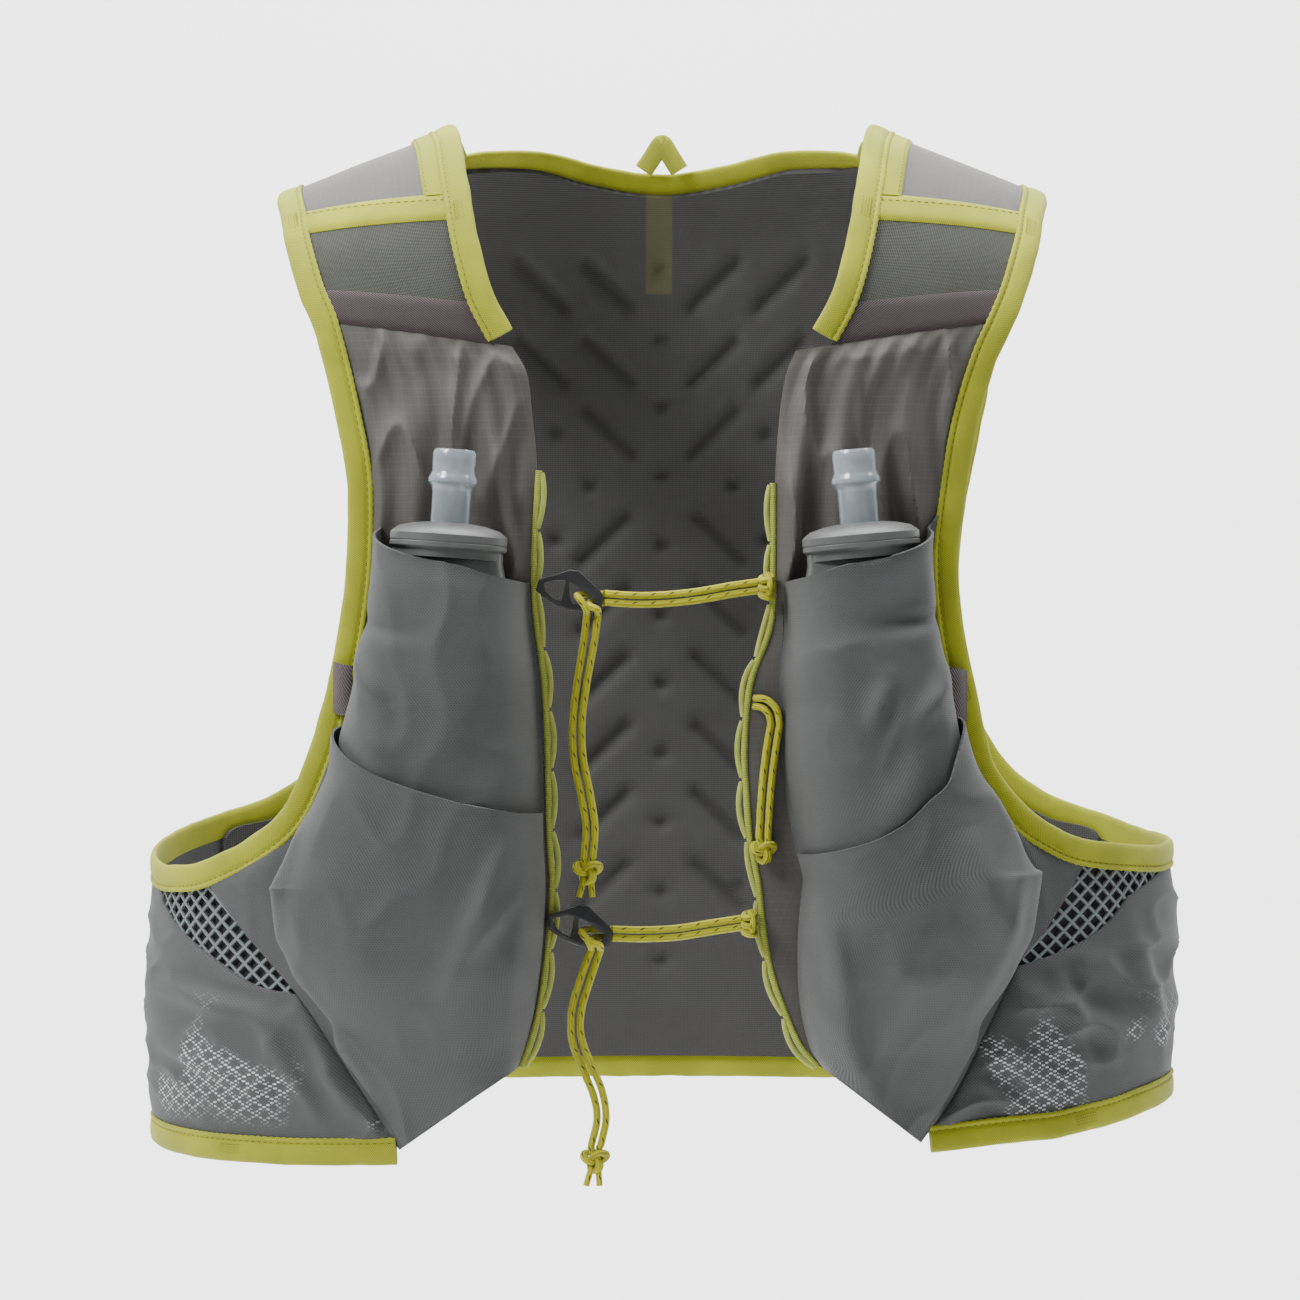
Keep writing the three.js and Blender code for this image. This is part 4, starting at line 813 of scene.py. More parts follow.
@dataclass
class Binding:
    """A folded stretch binding sewn round an edge, with its line of stitches."""

    name: str
    line: Grid
    hand: int
    ring: bool
    nodes: tuple[str, ...]
    palette: Palette
    step: float = 0.9 * MM
    wave: float = 0.22 * MM
    stitch_pitch: float = 3.1 * MM
    stitch_length: float = 2.1 * MM
    stitch_width: float = 0.42 * MM
    stitch_place: float = 0.62 * MM
    tack_length: float = 11 * MM
    tack_rows: int = 4
    tack_start: float = 1.9 * MM
    tack_pitch: float = 1.15 * MM
    lift: float = 0.0
    tacks: Sequence[tuple[float, float]] = ()

    def build(self) -> bpy.types.Object:
        """Sweeps the binding's section along its edge."""
        line = FORM.seat(even(self.line, self.step, self.ring))
        across = across_line(line, self.hand, self.ring)
        run = lengths(line)
        ripple = np.sin(run / self.stitch_pitch * 2 * math.pi) * self.wave
        slow = np.array([noise.noise(Vector((s * 90, self.hand, len(line)))) for s in run]) * 0.35 * MM
        columns = []
        for k, (a, h) in enumerate(BINDING_SHAPE):
            shift = a * MM + (ripple if k in LIP_POINTS else 0) + (slow if k in SLACK_POINTS else 0)
            spot = line + across * np.broadcast_to(shift, run.shape)[:, None]
            rise = np.abs(ripple) * (0.6 if k in RISING_POINTS else 0)
            columns.append(FORM.seat(spot, h * MM + self.lift + rise))
        points = np.stack(columns, 1)
        rows, corners = points.shape[:2]
        around = np.array([a for a, _ in BINDING_SHAPE]) * MM
        uv = np.stack(np.broadcast_arrays(run[:, None], around[None, :]), -1)
        faces = tube_faces(rows, corners, self.ring)
        piece = make(self.name, points.reshape(-1, 3), faces, uv.reshape(-1, 2), self.palette.binding)
        ride(piece, "lime_binding", *self.nodes)
        self.sew(line, across)
        return piece

    def sew(self, line: Grid, across: Grid) -> bpy.types.Object:
        """Adds the stitches that hold the binding."""
        track = FORM.seat(line + across * self.stitch_place, 1.72 * MM + self.lift)
        out = FORM.normal(line)
        run = lengths(track)
        starts = np.arange(self.stitch_pitch / 2, run[-1] - self.stitch_length, self.stitch_pitch)
        seam = Stitches(self.stitch_width)
        for start in starts:
            ends = sample(track, run, [start, start + self.stitch_length])
            seam.add(ends[0], ends[1], sample(out, run, start))
        for x, z in self.tacks:
            self.tack(seam, line, across, out, x * MM, z * MM)
        return ride(seam.build(f"{self.name}_stitches", self.palette.thread), "lime_binding")

    def tack(self, seam: "Stitches", line: Grid, across: Grid, out: Grid, x: float, z: float) -> None:
        """Adds a bar tack: close rows of short stitches across the band."""
        behind = np.where(line[:, 1] < 0.02, 0, 1.0)
        near = int(np.argmin((line[:, 0] - x) ** 2 + (line[:, 2] - z) ** 2 + behind))
        span = int(self.tack_length / self.step / 2)
        for i in range(max(near - span, 1), min(near + span, len(line) - 2)):
            for row in range(self.tack_rows):
                a = self.tack_start + row * self.tack_pitch + (0.3 * MM if i % 2 else 0)
                spot = FORM.seat(line[i] + across[i] * a, 2.36 * MM + self.lift)
                seam.add(spot, spot + (line[i + 1] - line[i]) * 0.5 + across[i] * 0.7 * MM, out[i])


class Stitches:
    """Many short threads joined in one mesh."""

    def __init__(self, width: float) -> None:
        """Starts a seam of threads of this width."""
        self.width = width
        self.points: list = []
        self.faces: list = []

    def add(self, start: Grid, end: Grid, out: Grid) -> None:
        """Adds one thread between two points, round on top and pulled in at its ends."""
        along = (end - start) / np.linalg.norm(end - start)
        side = np.cross(out, along)
        first = len(self.points)
        self.points.append(start - out * self.width * 0.4)
        for share in (0.25, 0.75):
            middle = start + (end - start) * share
            for a, b in ((1, 0), (0, 0.8), (-1, 0), (0, -0.8)):
                self.points.append(middle + (side * a + out * b) * self.width / 2)
        self.points.append(end - out * self.width * 0.4)
        for j in range(4):
            k = (j + 1) % 4
            self.faces.append((first, first + 1 + k, first + 1 + j))
            self.faces.append((first + 1 + j, first + 1 + k, first + 5 + k, first + 5 + j))
            self.faces.append((first + 5 + j, first + 5 + k, first + 9))

    def build(self, name: str, material: bpy.types.Material) -> bpy.types.Object:
        """Joins the threads."""
        points = np.array(self.points)
        return make(name, points, self.faces, points[:, [0, 2]], material, 80)


@dataclass
class Straps:
    """The shoulder strap: yoke, its bindings, sheer mesh and elastic."""

    layout: Layout
    palette: Palette
    spans: int = 10
    columns: int = 36
    binding_width: float = 9.8 * MM
    edge_drop: float = 1.1 * MM
    stitch_pitch: float = 3.1 * MM
    stitch_width: float = 0.42 * MM

    def strip(self, name: str, first: int, last: int, lift: float, thickness: float,
              material: bpy.types.Material, inset: float = 0.0, width: float = 1.0,
              ends: tuple[float, float] = (0.0, 0.0),
              relief: "Callable[[Grid], Grid] | None" = None) -> bpy.types.Object:
        """A piece of the strap between two of its stations.

        Args:
            name: The piece's name.
            first: Its first station.
            last: Its last station.
            lift: Outer face's distance from the form.
            thickness: Thickness of the cloth.
            material: Its finish.
            inset: Distance from the neck seam.
            width: Its width, up to the armhole seam.
            ends: How far the cloth runs past its first and last station.
            relief: Extra lift from the grid of points, if any.

        Returns:
            The piece.
        """
        taken = slice(first * self.spans, last * self.spans + 1)
        neck = smooth(self.layout.neck, self.spans)[taken]
        arm = smooth(self.layout.arm, self.spans)[taken]
        for side, (end, beside) in enumerate(((0, 1), (-1, -2))):
            for line in (neck, arm):
                way = line[end] - line[beside]
                line[end] = line[end] + way / np.linalg.norm(way) * ends[side]
        neck, arm = even_pair(neck, arm, 1.2 * MM)
        span = np.linalg.norm(arm - neck, axis=1)
        low = inset / span
        high = np.minimum(1, (inset + width) / span)
        share = low[:, None] + (high - low)[:, None] * np.linspace(0, 1, self.columns)
        grid = FORM.seat(neck[:, None] + (arm - neck)[:, None] * share[..., None])
        extra = relief(grid) if relief else 0.0
        uv = grid_uv(grid)
        uv[..., 1] = lengths(grid[:, 0])[:, None]
        piece = wall(name, FORM.seat(grid, lift + extra), FORM.normal(grid), thickness, uv, material)
        if material in (self.palette.ripstop, self.palette.sheer):
            declare(piece, grid, "neck_binding", f"armhole_binding_{self.layout.name}")
        return piece

    def build(self) -> None:
        """Builds every piece of the strap."""
        side = self.layout.name
        band = self.binding_width
        yoke = self.strip(f"yoke_{side}", 0, 4, 0.8 * MM, 1.0 * MM, self.palette.ripstop, band * 0.7,
                          ends=(1 * MM, 2 * MM), relief=self.crinkle)
        ride(yoke, "ripstop", f"shoulder_yoke_{side}")
        top = self.strip(f"yoke_edge_{side}", 0, 4, 2.1 * MM, 1.9 * MM, self.palette.binding, 0.5 * MM,
                         band * 1.02, (1 * MM, 1 * MM), self.pillow)
        ride(top, "lime_binding", f"yoke_binding_{side}")
        bar = self.strip(f"shoulder_edge_{side}", 4, 5, 2.0 * MM, 2.2 * MM, self.palette.binding, 0,
                         ends=(0.4 * MM, 0.4 * MM), relief=self.pillow_down)
        ride(bar, "lime_binding", f"shoulder_binding_{side}")
        mesh = self.strip(f"shoulder_sheer_{side}", 5, 7, 0.6 * MM, 0.8 * MM, self.palette.sheer, 0,
                          ends=(2 * MM, 2 * MM))
        ride(mesh, "sheer_mesh", f"shoulder_mesh_{side}")
        band_piece = self.strip(f"elastic_{side}", 7, 8, 1.7 * MM, 1.7 * MM, self.palette.plum, 0,
                                ends=(0.3 * MM, 2.4 * MM), relief=self.pillow_down)
        ride(band_piece, "plum_elastic", f"shoulder_elastic_{side}")
        self.sew_edges(side)

    def crinkle(self, grid: Grid) -> Grid:
        """The yoke's slight unevenness."""
        return crumple(grid, (35, 30, 35), 3.0) * 0.7 * MM

    def pillow(self, grid: Grid) -> Grid:
        """Rounds a band off towards its long edges."""
        share = np.linspace(-1, 1, grid.shape[1])
        return -self.edge_drop * np.abs(share[None, :]) ** 6 * np.ones(grid.shape[:2])

    def pillow_down(self, grid: Grid) -> Grid:
        """Rounds a band off towards its first and last row."""
        share = np.linspace(-1, 1, grid.shape[0])
        return -self.edge_drop * np.abs(share[:, None]) ** 6 * np.ones(grid.shape[:2])

    def sew_edges(self, side: str) -> None:
        """Stitches along the yoke's bindings."""
        seam = Stitches(self.stitch_width)
        neck = smooth(self.layout.neck, self.spans)
        width = smooth(self.layout.arm, self.spans) - neck
        whole = 4 * self.spans
        inward = self.binding_width * 0.88 / np.linalg.norm(width[:whole + 1], axis=1)
        along = neck[:whole + 1] + width[:whole + 1] * inward[:, None]
        across = neck[whole + 2] + width[whole + 2] * np.linspace(0.02, 0.99, 40)[:, None]
        for line in (along, across):
            track = FORM.seat(even(line, self.stitch_pitch), 2.15 * MM)
            out = FORM.normal(track)
            for a, b, n in zip(track, track[1:], out):
                seam.add(a, a + (b - a) * 0.68, n)
        ride(seam.build(f"yoke_stitches_{side}", self.palette.thread), "lime_binding")


# Heights of the pocket edges and shapes of the bulges, as shares of the form
BOTTLE_TOP = [(0, -0.459), (0.18, -0.451), (0.36, -0.442), (0.56, -0.436), (0.76, -0.425), (0.9, -0.411),
              (1, -0.391)]
STASH_TOP = {
    -1: [(0, -0.673), (0.14, -0.667), (0.31, -0.658), (0.57, -0.639), (0.78, -0.617), (1, -0.584)],
    1: [(0, -0.72), (0.28, -0.701), (0.46, -0.682), (0.6, -0.66), (0.74, -0.639), (0.89, -0.595),
        (1, -0.577)],
}
BOTTLE_BULGE = [(-0.52, 1), (-0.46, 0.97), (-0.39, 0.84)]
STASH_BULGE = [(-0.995, 0.02), (-0.95, 0.14), (-0.9, 0.36), (-0.86, 0.6), (-0.82, 0.84), (-0.775, 0.98),
               (-0.58, 1)]
# Where the bulge meets the flat border, as a share of half width at each height
CREASE = {
    -1: [(-0.87, 0.6), (-0.83, 0.655), (-0.79, 0.68), (-0.74, 0.675), (-0.69, 0.65), (-0.63, 0.6)],
    1: [(-0.87, 0.585), (-0.83, 0.63), (-0.79, 0.65), (-0.74, 0.645), (-0.69, 0.62), (-0.63, 0.58)],
}
# How far the inner edge of the pockets lies inside the panel's, as a share of its width at each height
INSET = {
    -1: [(-0.995, 0.01), (-0.39, 0.01)],
    1: [(-0.93, 0.02), (-0.82, 0.1), (-0.7, 0.14), (-0.58, 0.15), (-0.5, 0.06), (-0.43, 0.01)],
}


def look_up(pairs: Sequence[tuple[float, float]], place: Grid) -> Grid:
    """Reads a table of places and values."""
    xs, ys = zip(*pairs)
    return np.interp(place, xs, ys)


def rounded(pairs: Sequence[tuple[float, float]]) -> list:
    """The same table with a smooth curve through its values."""
    return [(x, y) for x, _, y in smooth(np.array([(x, 0.0, y) for x, y in pairs]), 12)]


def soften(grid: Grid, rounds: int) -> Grid:
    """Blurs a grid of heights."""
    for _ in range(rounds):
        padded = np.pad(grid, 1, mode="edge")
        grid = (padded[:-2, 1:-1] + padded[2:, 1:-1] + padded[1:-1, :-2] + padded[1:-1, 2:] + 4 * grid) / 8
    return grid


@dataclass
class ChestSide:
    """One front of the vest: panel, bottle pocket and stash pocket."""

    layout: Layout
    palette: Palette
    bottle_depth: float = 48.8 * MM
    stash_depth: float = 52.2 * MM
    bottle_edge: float = 1.4 * MM
    stash_edge: float = 2.4 * MM
    bulge_columns: int = 78
    flat_columns: int = 18
    cloth: float = 1.0 * MM
    lip: float = 0.5 * MM
    panel_rows: int = 190
    panel_columns: int = 64
    panel_start: float = 0.03
    panel_foot: float = -0.235
    panel_folds: dict = field(default_factory=lambda: {
        -1: [Fold(-72, -120, -62, -205, 5, 3.5), Fold(-100, -125, -104, -205, 7, 3),
             Fold(-56, -150, -54, -200, 4, 3), Fold(-88, -112, -84, -160, 4, 2),
             Fold(-112, -140, -118, -190, 5, 2)],
        1: [Fold(58, -125, 52, -200, 4, 3.5), Fold(76, -110, 70, -190, 5, 3),
            Fold(100, -115, 106, -180, 6, 3.5), Fold(88, -140, 92, -200, 4, 2.5),
            Fold(50, -150, 48, -205, 3, 2.5)],
    })
    bottle_folds: dict = field(default_factory=lambda: {
        -1: [Fold(-128, -214, -95, -222, 4, -2), Fold(-126, -222, -104, -252, 5, 2.4),
             Fold(-60, -240, -70, -285, 9, -2), Fold(-112, -250, -105, -290, 8, 1.6)],
        1: [Fold(116, -214, 80, -219, 4, -2), Fold(116, -232, 92, -262, 5, 2.2),
            Fold(84, -240, 78, -262, 4, 1.6), Fold(100, -262, 84, -305, 7, 1.8)],
    })
    stash_folds: dict = field(default_factory=lambda: {
        -1: [Fold(-137, -276, -149, -350, 4, 3), Fold(-54, -300, -84, -375, 6, 3),
             Fold(-50, -316, -62, -385, 5, 2.4), Fold(-147, -350, -118, -412, 5, 2.5),
             Fold(-52, -322, -72, -352, 3, 2)],
        1: [Fold(58, -318, 76, -400, 5, 3), Fold(112, -300, 126, -350, 7, 3),
            Fold(62, -372, 92, -428, 6, 2.6), Fold(122, -268, 140, -318, 5, 2.4),
            Fold(96, -330, 84, -395, 8, 2), Fold(134, -300, 118, -385, 5, 2)],
    })

    def panel(self) -> bpy.types.Object:
        """The crinkled panel behind the pockets."""
        rows = np.linspace(self.panel_start, TIP, self.panel_rows)
        share = np.linspace(0, 1, self.panel_columns)
        grid = FORM.seat(self.layout.chest(*np.meshgrid(rows, share, indexing="ij")))
        rim = np.minimum(1, np.minimum(share, 1 - share) * 12)
        fade = rim[None, :] * np.minimum(1, (rows - self.panel_start) * 1.5)[:, None]
        above = soften((grid[..., 2] > self.panel_foot) * 1.0, 6)
        lift = folded(grid, self.panel_folds[self.layout.side]) * above * 1.5
        lift += crumple(grid, (60, 20, 20), 7.0 + self.layout.side, True) * 3.2 * MM
        lift += crumple(grid, (26, 20, 18), 2.0) * 2.0 * MM
        gathers = (1 + np.sin(share[None, :] * 2 * math.pi * 8.5 + rows[:, None] * 1.2)) / 2
        lift += gathers * 2.2 * MM * np.exp(-rows * 1.1)[:, None]
        lift *= fade * above
        piece = wall(f"chest_{self.layout.name}", FORM.seat(grid, self.cloth / 2 + lift.clip(0, None)),
                     FORM.normal(grid), self.cloth, grid_uv(grid), self.palette.ripstop)
        ride(piece, "ripstop", f"chest_panel_{self.layout.name}")
        declare(piece, grid, f"armhole_binding_{self.layout.name}", f"shoulder_elastic_{self.layout.name}")
        return piece

    def pocket(self, name: str, node: str, row_at: Callable, depth: float, bulge: list, narrow: float,
               edge: float, folds: dict, rows: int) -> bpy.types.Object:
        """A pocket wall that stands off the panel.

        Args:
            name: The piece's name.
            node: The CAD node that it replaces.
            row_at: Gives the chest row from shares across and down.
            depth: How far the bulge stands out.
            bulge: Share of the depth at each height.
            narrow: Above 1, the bulge starts inside the edges.
            edge: Lift at the sewn edges.
            folds: Creases for each side.
            rows: Rows of the grid.

        Returns:
            The piece.
        """
        side = self.layout.side
        turn = (1 - np.cos(np.linspace(0, np.pi, self.bulge_columns))) / 2
        in_bulge = np.concatenate([turn, np.ones(self.flat_columns)])
        border = np.linspace(0, 1, self.flat_columns + 1)[1:]
        on_flat = np.concatenate([np.zeros(self.bulge_columns), border])
        down = np.linspace(0, 1, rows)[:, None] * np.ones(len(in_bulge))
        in_bulge, on_flat = in_bulge * np.ones_like(down), on_flat * np.ones_like(down)
        share = in_bulge
        for _ in range(4):
            row = row_at(share, down)
            guess = self.layout.chest(row, share)[..., 2] / FORM.height
            near, far = (self.layout.chest(row, np.full_like(row, k))[..., 0] * side for k in (0.0, 1.0))
            reach = (look_up(CREASE[side], guess) * FORM.half_width - near) / (far - near)
            reach = soften(reach.clip(0.4, 0.96), 10)
            share = reach * in_bulge + (1 - reach * in_bulge) * on_flat
        inset = look_up(INSET[side], guess)
        place = inset + (0.995 - inset) * share
        grid = FORM.seat(self.layout.chest(row_at(place, down), place))
        height = soften(look_up(bulge, grid[..., 2] / FORM.height), 10)
        middle = np.minimum(1, np.abs(2 * in_bulge - 1) * narrow)
        crown = np.sqrt(1 - middle**4)
        lift = depth * height * soften(crown, 2)
        soft = np.sin(np.pi * np.linspace(0.02, 0.98, lift.shape[1])) ** 0.4
        lift = soften(lift, 6)
        lift += folded(grid, folds[side]) * 2.6 * soft
        lift += crumple(grid, (26, 26, 13), 11.0 * side) * 3.2 * MM * soft
        lift += crumple(grid, (48, 48, 26), 17.0 * side, True) * 1.6 * MM * soft
        lift += edge - (edge - 0.9 * MM) * on_flat**2
        roll = np.exp(-np.linspace(0, rows * 1.6, rows) / 2.2)[:, None]
        outer = FORM.seat(grid, lift + self.lip * roll)
        out = surface_normals(outer, FORM.normal(grid))
        piece = wall(name, outer, out, self.cloth, grid_uv(outer), self.palette.stretch)
        ride(piece, "pocket_mesh", node)
        declare(piece, outer, f"chest_panel_{self.layout.name}", f"armhole_binding_{self.layout.name}")
        return piece

    def build(self) -> None:
        """Builds the panel and both pockets."""
        layout, side = self.layout, self.layout.side
        self.panel()
        top = rounded(STASH_TOP[side])

        def bottle_row(share: Grid, down: Grid) -> Grid:
            """Rows from the bottle pocket's edge to its foot inside the stash pocket."""
            head, foot = look_up(rounded(BOTTLE_TOP), share), look_up(top, share) - 0.05
            return layout.row_at(share, (head + (foot - head) * down) * FORM.height)

        def stash_row(share: Grid, down: Grid) -> Grid:
            """Rows from the stash pocket's edge to the tip."""
            head = layout.row_at(share, look_up(top, share) * FORM.height)
            return head + (TIP - head) * down

        self.pocket(f"bottle_cloth_{layout.name}", f"bottle_pocket_{layout.name}", bottle_row,
                    self.bottle_depth, BOTTLE_BULGE, 1.07, self.bottle_edge, self.bottle_folds, 110)
        self.pocket(f"stash_cloth_{layout.name}", f"stash_pocket_{layout.name}", stash_row,
                    self.stash_depth, STASH_BULGE, 1.0, self.stash_edge, self.stash_folds, 150)


def surface_normals(grid: Grid, like: Grid) -> Grid:
    """Normals of a grid, on the side that like points to."""
    made = np.cross(np.gradient(grid, axis=0), np.gradient(grid, axis=1))
    size = np.linalg.norm(made, axis=-1, keepdims=True)
    made = np.where(size > 1e-12, made / np.maximum(size, 1e-12), like)
    facing = np.sign((made * like).sum(-1, keepdims=True))
    facing = np.where(np.median(facing) < 0, -1.0, 1.0)
    return made * facing


@dataclass
class Back:
    """The padded mesh inside, the plain shell outside and the hem line."""

    palette: Palette
    inner_depth: float = 3.3 * MM
    dent_depth: float = 3.3 * MM
    dent_blur: float = 3.6 * MM
    slot_half: float = 14 * MM
    dot_half: float = 0.5 * MM
    outer_lift: float = 1.25 * MM
    shell_lift: float = 3.7 * MM
    # Rows of the pressed pattern as shares of the form: height, slots, their slope, and dots
    dents: tuple = (
        (-0.139, (0.11, 0.25), 1, ()), (-0.22, (0.11, 0.25), 1, ()), (-0.295, (0.11,), 1, (0.22,)),
        (-0.35, (), 1, (0.15,)), (-0.406, (0.12,), -1, (0.22,)), (-0.479, (0.12,), -1, ()),
        (-0.55, (0.12,), -1, ()), (-0.622, (0.12,), -1, ()), (-0.692, (0.12,), -1, ()),
        (-0.765, (0.12,), -1, (0.16,)),
    )
    middle_top: float = -0.124
    middle_pitch: float = 0.072
    middle_count: int = 11
    # Stations of the top edge where its curve has a corner
    top_corners: tuple[int, int] = (2, 8)

    def __post_init__(self) -> None:
        """Lays out the back's edges."""
        ends = [[side.arm[0], (side.arm[0] + side.neck[0]) / 2, side.neck[0]] for side in SIDES]
        self.top = smooth(np.array([*ends[0], *back_neck(), *ends[1][::-1]]), 14, self.top_corners)
        self.left, self.right = (smooth(self.edge(layout), 8) for layout in SIDES)

    def edge(self, layout: Layout) -> Grid:
        """The back panel's side edge from strap to hem."""
        below = [FORM.point(layout.side, "back", ARM_BACK[1][0], z) for z in BACK_BELOW]
        return np.array([layout.arm[0], *layout.arm_back[:0:-1], *below, layout.hem[-1]])

    def grid(self) -> Grid:
        """Points of the back on the form."""
        left, right = even_pair(self.left, self.right, 2.6 * MM)
        run = lengths((left + right) / 2)
        share = (self.top[:, 0] - self.top[0, 0]) / (self.top[-1, 0] - self.top[0, 0])
        straight = left[:, None] + (right - left)[:, None] * share[:, None]
        offset = self.top - (left[0] + (right[0] - left[0]) * share[:, None])
        fade = np.maximum(0, 1 - run / 0.14) ** 2
        straight = straight + offset[None] * fade[:, None, None]
        bow = (1 - (2 * share - 1) ** 2) * (HEM_MIDDLE * FORM.height - straight[-1, :, 2])
        foot = (1 - ((run[-1] - run) / 0.05).clip(0, 1)) ** 2
        straight[..., 2] += foot[:, None] * bow[None]
        return FORM.seat(straight)

    def dented(self, grid: Grid) -> Grid:
        """How deep the pressed slots and dots are at points."""
        total = np.zeros(grid.shape[:2])
        for z, slots, slope, dots in self.dents:
            for side in (-1, 1):
                for x in slots:
                    total += self.dent(grid, side * x, z, self.slot_half, slope * side)
                for x in dots:
                    total += self.dent(grid, side * x, z, self.dot_half, 0)
        for k in range(self.middle_count):
            total += self.dent(grid, 0.0, self.middle_top - k * self.middle_pitch, self.dot_half, 0)
        return total

    def dent(self, grid: Grid, x: float, z: float, run: float, slope: int) -> Grid:
        """One slot or dot."""
        centre = np.array([x * FORM.half_width, z * FORM.height])
        way = np.array([slope * 0.72, 0.7]) if slope else np.array([1.0, 0.0])
        way = way / np.linalg.norm(way)
        p = grid[..., [0, 2]] - centre
        along = (p @ way).clip(-run, run)
        away = np.linalg.norm(p - along[..., None] * way, axis=-1)
        return np.exp(-((away / self.dent_blur) ** 2))

    def build(self) -> None:
        """Builds the padded mesh and the shell."""
        grid = self.grid()
        out = FORM.normal(grid)
        press = self.dented(grid).clip(0, 1)
        pillow = 0.5 * MM * crumple(grid, (18, 18, 18), 5.0)
        inner = FORM.seat(grid, -self.inner_depth + press * self.dent_depth + pillow)
        thick = 2.5 * MM
        piece = wall("back_padding", inner + out * thick, out, thick, wrap_uv(grid, 1), self.palette.spacer)
        half = inner[..., 0].size
        # The wall starts with one thickness, then its outer face is laid smooth and only the inside is dented
        place = np.vstack([FORM.seat(grid, self.outer_lift).reshape(-1, 3), inner.reshape(-1, 3)])
        piece.data.vertices.foreach_set("co", place.astype(np.float32).ravel())
        # press holds the dent depth, which the back_mesh material also uses to paint shade into the dents
        layer = piece.data.attributes.new("press", "FLOAT", "POINT")
        layer.data.foreach_set("value", np.concatenate([np.zeros(half), press.ravel()]).astype(np.float32))
        piece.data.update()
        ride(piece, "back_mesh", "back_panel")
        soft = crumple(grid, (20, 20, 9), 9.0) * 2.2 * MM + crumple(grid, (45, 40, 25), 4.0, True) * 1.1 * MM
        columns = np.linspace(0, 1, grid.shape[1])
        soft *= np.minimum(1, np.minimum(columns, 1 - columns) * 10)[None, :]
        shell = wall("back_outer", FORM.seat(grid, self.shell_lift + soft), out, 1.0 * MM,
                     wrap_uv(grid, 1), self.palette.shell)
        ride(shell, "ripstop", "back_shell")
        declare(shell, grid, "back_panel", "neck_binding")

    def hem(self) -> Grid:
        """The hem seam all the way round."""
        back = self.grid()[-1, 6:-6:8]
        ends = [layout.hem[0] * 1.25 - layout.hem[1] * 0.25 for layout in SIDES]
        line = np.vstack([ends[:1], SIDES[0].hem, back, SIDES[1].hem[::-1], ends[1:]])
        return smooth(line, 6)


@dataclass
class NetWindow:
    """The open net under the arm, over its dark lining."""

    layout: Layout
    palette: Palette
    overlap: float = 5 * MM

    def build(self) -> None:
        """Builds the net and its lining."""
        layout = self.layout
        under = np.array([-layout.side * 1.8 * self.overlap, 0, 0])
        corner, foot = layout.outer[ARM_CORNER], layout.outer[WINDOW_FOOT]
        upper = smooth(np.vstack([[corner + under], [corner], layout.underarm]), 24)
        lower = smooth(np.vstack([[foot + under], [foot], layout.window[1:]]), 18)
        lower = lower - np.array([0, 0, self.overlap])
        grid = FORM.seat(upper[None] + (lower - upper)[None] * np.linspace(-0.05, 1, 40)[:, None, None])
        out = FORM.normal(grid)
        net = wall(f"net_{layout.name}", FORM.seat(grid, 0.1 * MM), out, 0.8 * MM, wrap_uv(grid),
                   self.palette.net)
        ride(net, "side_net", f"side_net_{layout.name}")
        lining = wall(f"net_lining_{layout.name}", FORM.seat(grid, -1.8 * MM), out, 0.5 * MM, wrap_uv(grid),
                      self.palette.lining)
        ride(lining, "side_net")
        for piece in (net, lining):
            declare(piece, grid, f"side_pocket_{layout.name}", f"armhole_binding_{layout.name}")


